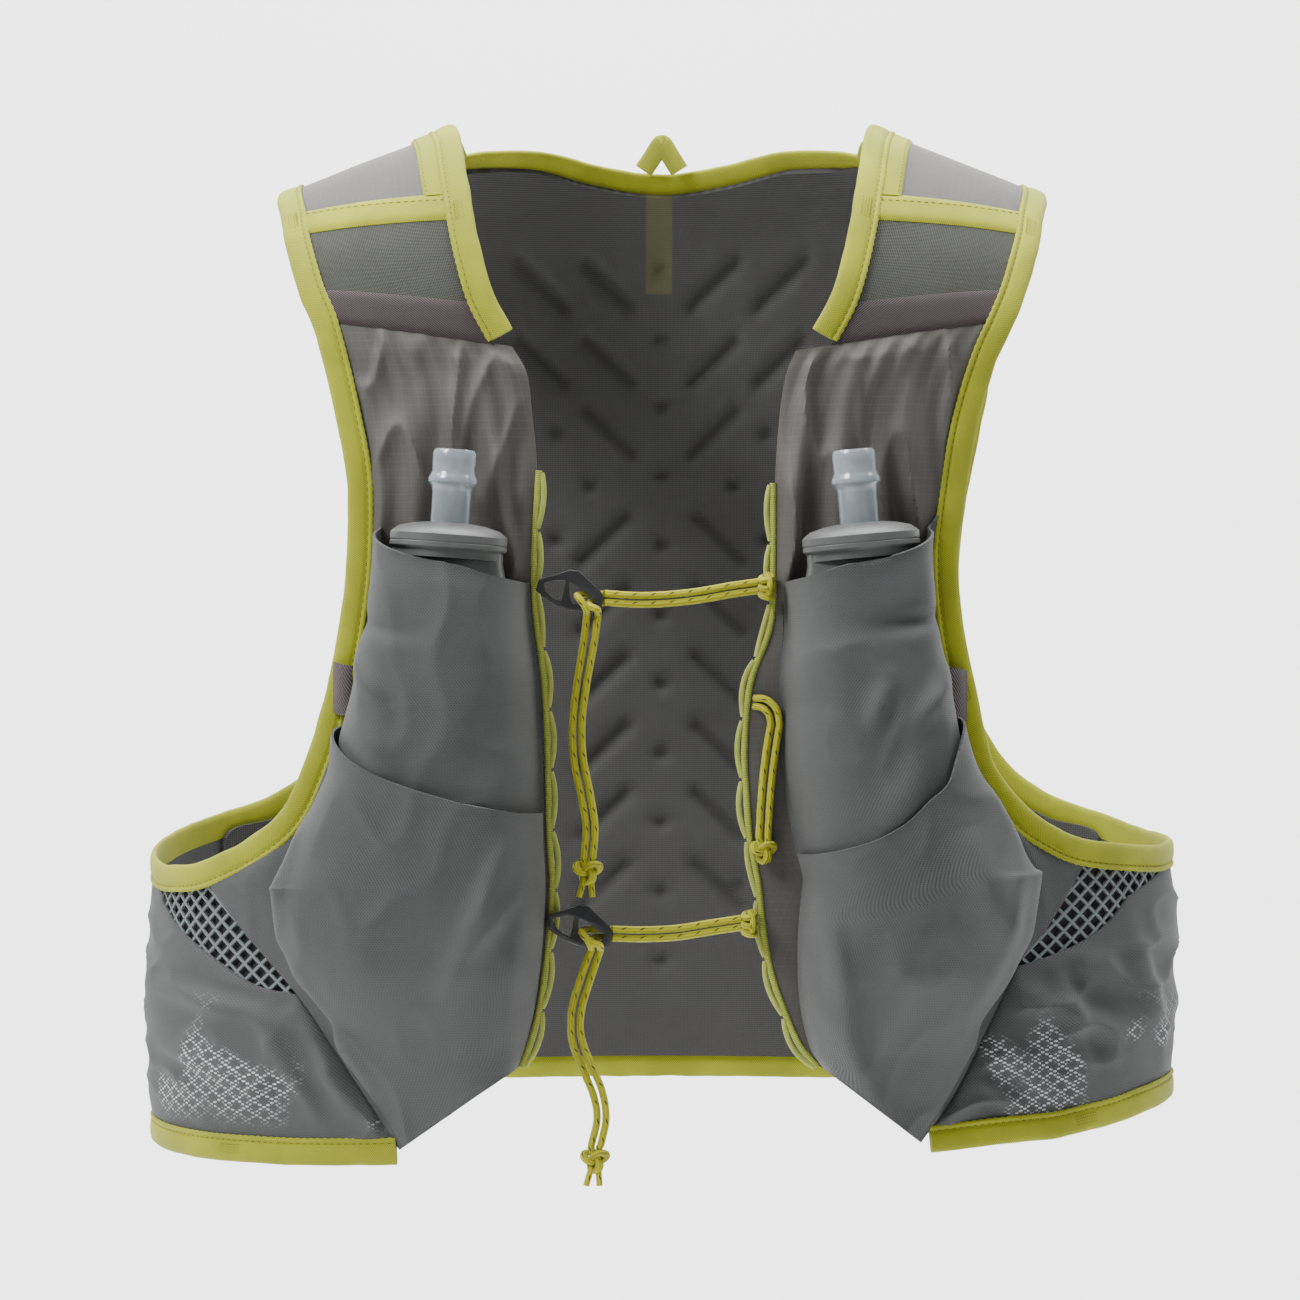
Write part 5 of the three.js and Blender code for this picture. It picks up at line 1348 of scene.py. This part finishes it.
@dataclass
class SidePocket:
    """The stretch pocket below the net window."""

    layout: Layout
    palette: Palette
    rows: int = 84
    tuck: float = 8 * MM
    ease: float = 2.0 * MM
    # Stations of the top edge at the two ends of the net window
    window_ends: tuple[int, int] = (4, 8)
    folds: dict = field(default_factory=lambda: {
        -1: [Fold(-205, -345, -165, -372, 6, 3), Fold(-215, -372, -150, -385, 5, 2.6),
             Fold(-210, -398, -165, -412, 4, 2.2), Fold(-150, -372, -128, -420, 5, 3.2),
             Fold(-168, -380, -140, -428, 4, 2.2), Fold(-212, -330, -190, -345, 4, 2)],
        1: [Fold(150, -346, 192, -366, 6, 3.2), Fold(140, -368, 196, -392, 6, 3),
            Fold(132, -390, 165, -418, 5, 2.6), Fold(160, -350, 176, -412, 5, 2.4),
            Fold(196, -345, 210, -390, 5, 2.2), Fold(128, -404, 150, -424, 4, 2)],
    })

    def build(self) -> bpy.types.Object:
        """Builds the pocket's wall."""
        layout = self.layout
        seam_foot = (layout.outer[TIP - 1] + layout.outer[TIP]) / 2
        under = np.array([-layout.side * self.tuck, 0, -self.tuck])
        top = np.vstack([[seam_foot + under], [seam_foot], layout.outer[TIP - 1:WINDOW_FOOT - 1:-1],
                         layout.window, layout.underarm[-1:], layout.arm_back[:2],
                         layout.arm_back[1:2] * 1.3 - layout.arm_back[:1] * 0.3])
        foot = np.vstack([layout.hem[:1] * 2 - layout.hem[1:2], layout.hem,
                          layout.hem[-1:] * 1.3 - layout.hem[-2:-1] * 0.3])
        upper, lower = smooth(top, 10, self.window_ends), smooth(foot, 10)
        share = np.linspace(0, 1, self.rows)
        grid = FORM.seat(upper[None] + (lower - upper)[None] * share[:, None, None])
        slack = np.sin(np.pi * share) ** 0.6
        column = np.arange(len(upper))
        ends = np.minimum(((column - 8) / 8).clip(0, 1), ((len(upper) - 14 - column) / 14).clip(0, 1))
        lift = self.ease * slack[:, None] + folded(grid, self.folds[layout.side]) * 1.9 * slack[:, None]
        lift += crumple(grid, (24, 26, 34), 21.0 * layout.side) * 3.2 * MM * slack[:, None]
        lift += crumple(grid, (30, 30, 60), 31.0, True) * 2.2 * MM * slack[:, None]
        outer = FORM.seat(grid, 0.5 * MM + lift * ends[None, :])
        piece = wall(f"side_cloth_{layout.name}", outer, FORM.normal(grid), 1.0 * MM, wrap_uv(grid),
                     self.palette.side)
        ride(piece, "pocket_mesh", f"side_pocket_{layout.name}")
        declare(piece, outer, "hem_binding", "back_panel")
        return piece


def tube(name: str, line: Grid, radius: float, material: bpy.types.Material, sides: int = 10,
         flat: float = 1.0, closed: bool = False) -> bpy.types.Object:
    """A round or flattened tube along a line, with its length and turn as cloth lengths."""
    along = np.gradient(line, axis=0)
    if closed:
        along = np.roll(line, -1, 0) - np.roll(line, 1, 0)
    along = along / np.linalg.norm(along, axis=1, keepdims=True)
    side = np.cross(along[0], [0.0, -1.0, 0.05])
    rings = []
    for way in along:
        side = side - way * (side @ way)
        side = side / np.linalg.norm(side)
        rings.append((side, np.cross(way, side)))
    angles = np.linspace(0, 2 * np.pi, sides + 1)[:-1]
    points = np.array([[p + radius * (a * math.cos(t) + b * math.sin(t) * flat) for t in angles]
                       for p, (a, b) in zip(line, rings)])
    run = lengths(line)
    uv = np.stack(np.broadcast_arrays(run[:, None], (angles / (2 * np.pi))[None]), -1)
    faces = tube_faces(len(line), sides, closed)
    return make(name, points.reshape(-1, 3), faces, uv.reshape(-1, 2), material, 70)


def joined(name: str, pieces: Sequence[bpy.types.Object]) -> bpy.types.Object:
    """Joins pieces in one object."""
    clear_selection()
    for piece in pieces:
        piece.select_set(True)
    bpy.context.view_layer.objects.active = pieces[0]
    bpy.ops.object.join()
    pieces[0].name = name
    return pieces[0]


@dataclass
class Ladder:
    """The daisy chain along a centre front edge: a sewn strand and open loops."""

    layout: Layout
    palette: Palette
    pitch: float = 23 * MM
    strand: float = 1.4 * MM
    band: float = 1.15 * MM
    bulge: float = 2.6 * MM

    def build(self) -> bpy.types.Object:
        """Builds the strand and its loops."""
        line = even(smooth(self.layout.inner[LADDER_ROW:], 8), 0.5 * MM)
        across = across_line(FORM.seat(line), -self.layout.side)
        run = lengths(line)
        strand_line = FORM.seat(line + across * 0.9 * MM, 0.5 * MM)
        pieces = [tube("strand", strand_line, self.strand, self.palette.ladder, 10, 0.9)]
        loops = int(run[-1] / self.pitch)
        share = np.linspace(0.04, 0.96, 26)
        for k in range(loops):
            at = (k + share) * run[-1] / loops
            base, way = sample(line, run, at), sample(across, run, at)
            swing = 0.8 + 0.4 * noise.noise(Vector((k * 3.7, self.layout.side, 0)))
            reach = 1.6 * MM + self.bulge * swing * np.sin(np.pi * share ** 0.9) ** 0.8
            loop = FORM.seat(base + way * reach[:, None], 0.9 * MM)
            pieces.append(tube("loop", loop, self.band, self.palette.loop, 8, 0.6))
        piece = joined(f"ladder_{self.layout.name}", pieces)
        return ride(piece, "ladder_webbing", f"edge_ladder_{self.layout.name}")


# Cord routes, points in metres: across and up, in the plane y of each cord
CORD_Y = -0.1074
SPARE_Y = -0.1082
CORD_RADIUS = 0.0015
ROUTES = {
    "chest_cord_upper_a": (CORD_Y, [(-0.0237, -0.2058), (-0.012, -0.2066), (0, -0.2064), (0.014, -0.205),
                                    (0.028, -0.2026), (0.0393, -0.201)]),
    "chest_cord_upper_b": (CORD_Y, [(-0.0237, -0.2093), (-0.012, -0.2101), (0, -0.2099), (0.014, -0.2085),
                                    (0.028, -0.2061), (0.0393, -0.2045)]),
    "chest_cord_lower_a": (CORD_Y, [(-0.0205, -0.344), (-0.008, -0.3443), (0.006, -0.3436), (0.02, -0.3414),
                                    (0.0323, -0.3396)]),
    "chest_cord_lower_b": (CORD_Y, [(-0.0205, -0.3475), (-0.008, -0.3478), (0.006, -0.3471), (0.02, -0.3449),
                                    (0.0323, -0.3431)]),
    "tail_upper_a": (CORD_Y, [(-0.0312, -0.2143), (-0.0326, -0.226), (-0.0352, -0.242), (-0.037, -0.258),
                              (-0.0366, -0.274), (-0.0336, -0.289), (-0.0316, -0.302), (-0.0324, -0.3146)]),
    "tail_upper_b": (CORD_Y, [(-0.0266, -0.2143), (-0.0284, -0.227), (-0.0313, -0.243), (-0.0332, -0.258),
                              (-0.0328, -0.273), (-0.0299, -0.288), (-0.0279, -0.302), (-0.0288, -0.3146)]),
    "tail_lower_a": (CORD_Y, [(-0.0294, -0.3523), (-0.0334, -0.363), (-0.0372, -0.376), (-0.0374, -0.389),
                              (-0.0332, -0.401), (-0.0286, -0.412), (-0.027, -0.422), (-0.0295, -0.4334)]),
    "tail_lower_b": (CORD_Y, [(-0.0256, -0.3523), (-0.0296, -0.364), (-0.0334, -0.377),
                              (-0.0336, -0.388), (-0.0295, -0.3995), (-0.0249, -0.4105),
                              (-0.0233, -0.422), (-0.0256, -0.4334)]),
    "spare_cord_a": (SPARE_Y, [(0.0446, -0.259), (0.043, -0.268), (0.0414, -0.28), (0.0404, -0.292),
                               (0.0396, -0.3066)]),
    "spare_cord_b": (SPARE_Y, [(0.0482, -0.259), (0.0466, -0.269), (0.045, -0.281), (0.044, -0.293),
                               (0.0432, -0.3066)]),
}


@dataclass
class Cords:
    """The doubled sternum cords, their tails and knots, and the spare cord."""

    palette: Palette
    spare_head: tuple = (
        ((44.6, -108.2, -259.2), (43.6, -108.6, -255.4), (41.0, -107.9, -252.8), (37.6, -105.4, -252.2)),
        ((48.2, -108.2, -259.2), (46.9, -109.0, -253.4), (42.8, -108.8, -249.4), (37.8, -105.8, -248.8)),
    )

    def strand(self, name: str) -> tuple[bpy.types.Object, Grid]:
        """One strand along its route."""
        y, route = ROUTES[name]
        line = even(smooth(np.array([(x, y, z) for x, z in route]), 16), 0.9 * MM)
        return tube(f"strand_{name}", line, CORD_RADIUS * 1.04, self.palette.cord, 12), line

    def knot(self, name: str, node: str, wide: float, deep: float, high: float,
             ends: int) -> bpy.types.Object:
        """An overhand knot of the doubled cord, with its short ends."""
        low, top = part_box(node)
        centre, half = np.array((low + top) / 2), (top.z - low.z) / 2
        t = np.linspace(0, 2 * np.pi, 120, endpoint=False)
        pieces = []
        for shift in (-0.5, 0.5):
            loop = np.stack([np.sin(t) + 1.6 * np.sin(2 * t), 0.9 * np.sin(3 * t) + shift * 0.5,
                             np.cos(t) - 1.6 * np.cos(2 * t)], -1) * np.array([wide, deep, high]) / 2.6
            loop[:, 0] += shift * MM
            pieces.append(tube("turn", loop + centre, CORD_RADIUS * 0.86, self.palette.cord, 9, closed=True))
        for across in (-1.85 * MM, 1.9 * MM):
            entry = np.array([centre + np.array([across * (0.35 + 0.65 * s), 0.0, (half + 0.7 * MM) * s])
                              for s in np.linspace(0, 1, 10)])
            pieces.append(tube("entry", entry, CORD_RADIUS, self.palette.cord, 10))
        for k in range(ends):
            start = centre + np.array([(k - 0.5) * 2.6 * MM, 0, -high * 0.6])
            fall = np.array([start + np.array([(k - 0.8) * 3 * MM * s, -0.4 * MM * s, -8 * MM * s])
                             for s in np.linspace(0, 1, 12)])
            pieces.append(tube("end", fall, CORD_RADIUS * 0.9, self.palette.cord, 9))
        return ride(joined(name, pieces), "lime_cord", node)

    def hitch(self, name: str, node: str) -> bpy.types.Object:
        """A cow hitch round the ladder loop: two lumps and a bar across them."""
        low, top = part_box(node)
        centre, half = np.array((low + top) / 2), np.array((top - low) / 2)
        pieces = []
        t = np.linspace(0, 2 * np.pi, 40, endpoint=False)
        for level in (-0.62, -0.05, 0.55):
            ring = np.stack([np.cos(t) * half[0] * 0.72, np.sin(t) * half[1] * 0.7,
                             level * half[2] + np.sin(t + level) * 0.9 * MM], -1)
            pieces.append(tube("wrap", ring + centre, CORD_RADIUS * 0.95, self.palette.cord, 10,
                               closed=True))
        s = np.linspace(-1, 1, 24)
        bar = np.stack([1.6 * MM * np.cos(s * 1.4), -half[1] * 0.85 * np.cos(s * 1.2),
                        s * half[2] * 0.86], -1)
        pieces.append(tube("bar", bar + centre, CORD_RADIUS * 0.9, self.palette.cord, 10))
        return ride(joined(name, pieces), "lime_cord", node)

    def build(self) -> None:
        knots = {
            "tail_upper": self.knot("knot_tail_upper", "tail_knot_upper", 5.2 * MM, 3.6 * MM, 4.6 * MM, 2),
            "tail_lower": self.knot("knot_tail_lower", "tail_knot_lower", 5.0 * MM, 3.6 * MM, 4.6 * MM, 2),
            "spare": self.knot("knot_spare", "spare_knot", 4.4 * MM, 3.2 * MM, 4.4 * MM, 0),
        }
        heads = []
        for stops in self.spare_head:
            line = even(smooth(np.array(stops) * MM, 8), 0.8 * MM)
            heads.append(tube("head", line, CORD_RADIUS, self.palette.cord, 12))
        ride(joined("spare_head", heads), "lime_cord")
        self.hitch("hitch_upper", "ladder_knot_upper")
        self.hitch("hitch_lower", "ladder_knot_lower")
        for name in ROUTES:
            piece, line = self.strand(name)
            ride(piece, "lime_cord", name)
            if name.startswith("chest"):
                continue
            path = line[::4].tolist() + [line[-1].tolist()]


@dataclass
class Hooks:
    """The moulded toggles, rounded from the frame's own plates, with the cord that loops over each."""

    palette: Palette

    def build(self) -> None:
        """Builds both hooks."""
        for name in ("upper", "lower"):
            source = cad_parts[f"hook_{name}"]
            piece = add_object(f"toggle_{name}", source.data.copy())
            piece.data.materials.clear()
            piece.data.materials.append(self.palette.hook)
            only(piece)
            bpy.ops.object.mode_set(mode="EDIT")
            bpy.ops.mesh.select_all(action="SELECT")
            bpy.ops.mesh.remove_doubles(threshold=0.00001)
            bpy.ops.mesh.dissolve_limited(angle_limit=math.radians(3))
            bpy.ops.object.mode_set(mode="OBJECT")
            bevel = piece.modifiers.new("round", "BEVEL")
            bevel.width, bevel.segments, bevel.limit_method = 0.8 * MM, 3, "ANGLE"
            bevel.angle_limit = math.radians(40)
            bpy.ops.object.modifier_apply(modifier=bevel.name)
            bpy.ops.object.shade_smooth_by_angle(angle=math.radians(60))
            ride(piece, "hook_plastic", f"hook_{name}")
            self.wrap(name)

    def wrap(self, name: str) -> bpy.types.Object:
        """The doubled cord that turns over the hook's bar."""
        pieces = []
        for strand in "ab":
            y, chest = ROUTES[f"chest_cord_{name}_{strand}"]
            _, tail = ROUTES[f"tail_{name}_{strand}"]
            (x0, z0), (x1, z1) = chest[0], tail[0]
            stops = [(x0, y, z0), (x0 - 2.4 * MM, y + 2.9 * MM, z0 - 0.3 * MM),
                     (x0 - 6 * MM, y + 3.3 * MM, z0), (x1 - 3.6 * MM, y + 0.4 * MM, z0 - 0.6 * MM),
                     (x1 - 3.4 * MM, y - 3.2 * MM, z0 - 1.6 * MM),
                     (x1 - 1.4 * MM, y - 3.9 * MM, (z0 + z1) / 2),
                     (x1 - 0.2 * MM, y - 3.2 * MM, z1 + 1.8 * MM), (x1, y, z1)]
            line = even(smooth(np.array(stops), 8), 0.8 * MM)
            pieces.append(tube("turn", line, CORD_RADIUS, self.palette.cord, 12))
        return ride(joined(f"hook_turn_{name}", pieces), "lime_cord")


# Flask, cap and valve outlines: radius and height as shares
CAP_STATIONS = [(0.86, -0.35), (0.9, -0.33), (0.9, -0.06), (0.97, 0), (1, 0.06), (1, 0.2), (0.985, 0.24),
                (1, 0.28), (1, 0.52), (0.97, 0.6), (0.86, 0.78), (0.62, 0.92), (0.4, 0.985), (0.02, 1)]
VALVE_STATIONS = [(0.8, 0), (0.8, 0.42), (0.86, 0.5), (1, 0.55), (1, 0.6), (0.94, 0.64), (0.86, 0.7),
                  (0.88, 0.84), (0.88, 0.95), (0.8, 1), (0.66, 1), (0.6, 0.97), (0.5, 0.93), (0.02, 0.92)]
FILM_STATIONS = [(0.02, -1.0), (0.55, -0.99), (0.85, -0.94), (0.98, -0.85), (1.0, -0.7), (1.0, -0.27),
                 (0.96, -0.13), (0.88, -0.06), (0.84, -0.03), (0.84, -0.002)]


@dataclass
class Flask:
    """A soft flask with its screw cap and bite valve."""

    side: int
    palette: Palette
    tilt: dict = field(default_factory=lambda: {-1: 4.0, 1: 5.0})
    place: dict = field(default_factory=lambda: {-1: 0.398, 1: 0.369})
    half_width: float = 27 * MM
    half_depth: float = 20 * MM
    length: float = 146 * MM
    stand_off: float = 25.2 * MM
    cap_radius: float = 24 * MM
    cap_height: float = 11 * MM
    valve_radius: float = 10 * MM
    valve_height: float = 30 * MM

    def turned(self, name: str, stations: list, radius: float, height: float, base: float, sides: int,
               material: bpy.types.Material) -> bpy.types.Object:
        """Raises a circle through a list of stations by extruding and scaling its rim.

        Args:
            name: The piece's name.
            stations: Shares of radius and height from the foot up.
            radius: Full radius.
            height: Full height.
            base: Height of share 0.
            sides: Corners of the circle.
            material: The finish.

        Returns:
            The piece at the origin.
        """
        clear_selection()
        first = stations[0]
        bpy.ops.mesh.primitive_circle_add(vertices=sides, radius=radius * first[0], fill_type="NGON",
                                          location=(0, 0, base + height * first[1]))
        piece = bpy.context.object
        piece.name = name
        bpy.ops.object.transform_apply(location=True, rotation=True, scale=True)
        bpy.ops.object.mode_set(mode="EDIT")
        bpy.ops.mesh.select_all(action="SELECT")
        for (r0, h0), (r1, h1) in zip(stations, stations[1:]):
            bpy.ops.mesh.extrude_region_move(TRANSFORM_OT_translate={"value": (0, 0, height * (h1 - h0))})
            scale = r1 / r0
            bpy.ops.transform.resize(value=(scale, scale, 1), center_override=(0, 0, 0))
        bpy.ops.mesh.select_all(action="SELECT")
        bpy.ops.mesh.normals_make_consistent(inside=False)
        bpy.ops.object.mode_set(mode="OBJECT")
        piece.data.materials.append(material)
        bpy.ops.object.shade_smooth_by_angle(angle=math.radians(38))
        return piece

    def build(self) -> None:
        """Builds the three pieces and stands them in the pocket."""
        name = SIDE_NAMES[self.side]
        spot = FORM.point(self.side, "front", self.place[self.side], -0.428)
        stand = Matrix.Translation((spot[0], spot[1] - self.stand_off, spot[2]))
        stand = stand @ Matrix.Rotation(math.radians(-self.side * self.tilt[self.side]), 4, "Y")
        film = self.turned(f"film_{name}", FILM_STATIONS, self.half_width, self.length, 0, 48,
                           self.palette.film)
        film.data.transform(Matrix.Diagonal((1, self.half_depth / self.half_width, 1, 1)))
        cap = self.turned(f"cap_{name}", CAP_STATIONS, self.cap_radius, self.cap_height, 0.3 * MM, 72,
                          self.palette.cap)
        valve = self.turned(f"valve_{name}", VALVE_STATIONS, self.valve_radius, self.valve_height,
                            self.cap_height + 0.1 * MM, 48, self.palette.valve)
        rows = ((film, "flask_film", "body"), (cap, "flask_cap", "cap"), (valve, "bite_valve", "valve"))
        for piece, slot, node in rows:
            piece.data.transform(stand)
            ride(piece, slot, f"flask_{node}_{name}")


@dataclass
class SmallTrim:
    """Loop tabs, at millimetres across and up, and the folded hanging loop."""

    palette: Palette
    tab_places: dict = field(default_factory=lambda: {
        -1: (-135.5, -123.5, -255, -234),
        1: (112.5, 124.5, -257, -236),
    })

    def tab(self, layout: Layout) -> bpy.types.Object:
        """A loop tab, rounded, and raised beside the pocket's flank."""
        low_x, high_x, low_z, high_z = self.tab_places[layout.side]
        across, up = np.linspace(0, 1, 24), np.linspace(0, 1, 22)
        x = low_x + (high_x - low_x) * across[None, :] + 0 * up[:, None]
        z = low_z + (high_z - low_z) * up[:, None] - 0.12 * (high_x - low_x) * across[None, :]
        grid = np.stack([x, np.full_like(x, -0.09), z], -1) * np.array([MM, 1, MM])
        grid = FORM.seat(grid)
        arch = np.sin(np.pi * (across * 0.94 + 0.03)) ** 0.7
        waist = 1 - 0.25 * np.abs(2 * up - 1) ** 3
        rise = 1 - across if layout.side > 0 else across
        outer = FORM.seat(grid, (2.6 + 11.0 * rise[None, :] + 4.2 * arch[None, :] * waist[:, None]) * MM)
        piece = wall(f"tab_{layout.name}", outer, surface_normals(outer, FORM.normal(grid)), 1.5 * MM,
                     grid_uv(outer), self.palette.plum)
        return ride(piece, "plum_elastic", f"loop_tab_{layout.name}")

    def hanger(self) -> bpy.types.Object:
        """Tape folded to a triangle over the neck binding."""
        low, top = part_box("hang_loop")
        y = (low.y + top.y) / 2
        wide, sunk = 8.2 * MM, 0.5 * MM
        base, high = low.z - sunk, top.z - low.z + sunk
        path = [(-1, 0), (-0.55, 0.45), (-0.12, 0.93), (0.02, 1), (0.16, 0.93), (0.58, 0.45), (1, 0)]
        line = smooth(np.array([(x * wide, y, base + h * high) for x, h in path]), 10)
        piece = tube("hanger_tape_loop", line, 4.3 * MM, self.palette.binding, 16, 0.22)
        return ride(piece, "lime_binding", "hang_loop")

    def build(self) -> None:
        """Builds all small trim."""
        for layout in SIDES:
            self.tab(layout)
        self.hanger()


def dress_tape(palette: Palette) -> None:
    """Gives the frame's own hanging tape, which stays, its finish and cloth lengths."""
    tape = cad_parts["hanger_tape"].data
    tape.materials.clear()
    tape.materials.append(palette.binding)
    layer = tape.uv_layers.new(name="cloth")
    for loop in tape.loops:
        spot = tape.vertices[loop.vertex_index].co
        layer.data[loop.index].uv = (spot.x, spot.z)


# The camera's place in metres and its lens in millimetres
CAMERA_PLACE = (-0.0052, -1.970, -0.229)
LENS = 125.3
# Millimetres a pixel of the photograph where y is PIXEL_PLANE, in metres, and the pixel of its middle
PIXEL_SIZE = 0.42
PIXEL_PLANE = -0.07
PIXEL_MIDDLE = 650

# Bar tacks on the bindings in the photograph: pixels across and down, and the depth of that place
TACKS = {
    "armhole_left": ((298, 225, -0.05), (338, 680, -0.1)),
    "armhole_right": ((1008, 228, -0.05), (955, 690, -0.1)),
    "neck": ((460, 216, -0.07), (853, 213, -0.07)),
    "hem": ((237, 1149, -0.05), (1080, 1117, -0.06)),
}


@dataclass
class Studio:
    """Pale floor and sweep, soft lights and the camera at the photograph's place."""

    floor: float = -0.75
    bend: float = 1.0
    # Each lamp's name, place, target, size in metres and power in watts
    lamps: tuple = (
        ("key", (-1.7, -1.3, 1.5), (0, 0, -0.25), 0.9, 92),
        ("fill", (1.9, -2.0, 0.2), (0, 0, -0.25), 2.2, 6),
        ("top", (0.2, -0.2, 1.9), (0, 0, -0.25), 0.8, 21),
        ("paper", (0.0, 0.5, 1.5), (0, 3, -0.2), 2.5, 215),
    )

    def build(self) -> None:
        """Adds the stage."""
        self.sweep()
        self.lights()
        camera = add_object("camera", bpy.data.cameras.new("camera"))
        camera.location = CAMERA_PLACE
        camera.rotation_euler = (math.radians(90), 0, 0)
        camera.data.lens, camera.data.sensor_width = LENS, 36
        bpy.context.scene.camera = camera

    def sweep(self) -> None:
        """A floor that curves up into a backdrop."""
        start, centre = 1.2, self.floor + self.bend
        arc = [(-6.0, self.floor), (start, self.floor)]
        arc += [(start + self.bend * math.sin(a), centre - self.bend * math.cos(a))
                for a in np.linspace(0.15, math.pi / 2, 12)]
        arc += [(start + self.bend, 5.0)]
        points = [(x, y, z) for y, z in arc for x in (-6, 6)]
        mesh = bpy.data.meshes.new("sweep")
        mesh.from_pydata(points, [], [(2 * i, 2 * i + 1, 2 * i + 3, 2 * i + 2) for i in range(len(arc) - 1)])
        floor = add_object("sweep", mesh)
        shader = Shader("sweep_paper")
        shader.dress({"Base Color": (0.86, 0.86, 0.86, 1), "Roughness": 0.9, "Specular IOR Level": 0.0})
        mesh.materials.append(shader.material)
        only(floor)
        bpy.ops.object.shade_smooth()

    def lights(self) -> None:
        """A key from the upper left, a fill, a lamp above, one for the backdrop and an even surround."""
        for name, place, target, size, power in self.lamps:
            lamp = bpy.data.lights.new(name, "AREA")
            lamp.energy, lamp.size = power, size
            holder = add_object(name, lamp)
            holder.location = place
            holder.rotation_euler = (Vector(target) - Vector(place)).to_track_quat("-Z", "Y").to_euler()
        world = bpy.data.worlds.new("studio")
        bpy.context.scene.world = world
        world.use_nodes = True
        surround = world.node_tree.nodes["Background"]
        surround.inputs["Color"].default_value = (0.93, 0.94, 0.96, 1)
        surround.inputs["Strength"].default_value = 0.28


def photo_places(marks: Sequence[tuple[float, float, float]]) -> list[tuple[float, float]]:
    """Millimetres across and up of places in the photograph, each at its own depth."""
    middle_x, camera_y, middle_z = CAMERA_PLACE
    made = []
    for px, py, depth in marks:
        scale = PIXEL_SIZE * (depth - camera_y) / (PIXEL_PLANE - camera_y)
        across, up = (px - PIXEL_MIDDLE) * scale, (PIXEL_MIDDLE - py) * scale
        made.append((middle_x / MM + across, middle_z / MM + up))
    return made


def main() -> None:
    """Builds the vest piece by piece."""
    logging.basicConfig(level=logging.INFO, format="%(message)s")
    palette = Palette()
    Studio().build()
    Cords(palette).build()
    Hooks(palette).build()
    back = Back(palette)
    back.build()
    for layout in SIDES:
        ChestSide(layout, palette).build()
        Straps(layout, palette).build()
        SidePocket(layout, palette).build()
        NetWindow(layout, palette).build()
        Ladder(layout, palette).build()
        Flask(layout.side, palette).build()
        Binding(f"armhole_band_{layout.name}", layout.armhole, layout.side, True,
                (f"armhole_binding_{layout.name}",), palette,
                tacks=photo_places(TACKS[f"armhole_{layout.name}"])).build()
    neck = np.vstack([SIDES[0].neck[::-1], back_neck(), SIDES[1].neck])
    Binding("neck_band", smooth(neck, 8), -1, False, ("neck_binding",), palette, lift=0.35 * MM,
            tacks=photo_places(TACKS["neck"])).build()
    Binding("hem_band", back.hem(), 1, False, ("hem_binding",), palette,
            tacks=photo_places(TACKS["hem"])).build()
    SmallTrim(palette).build()
    dress_tape(palette)


if __name__ == "__main__":
    main()
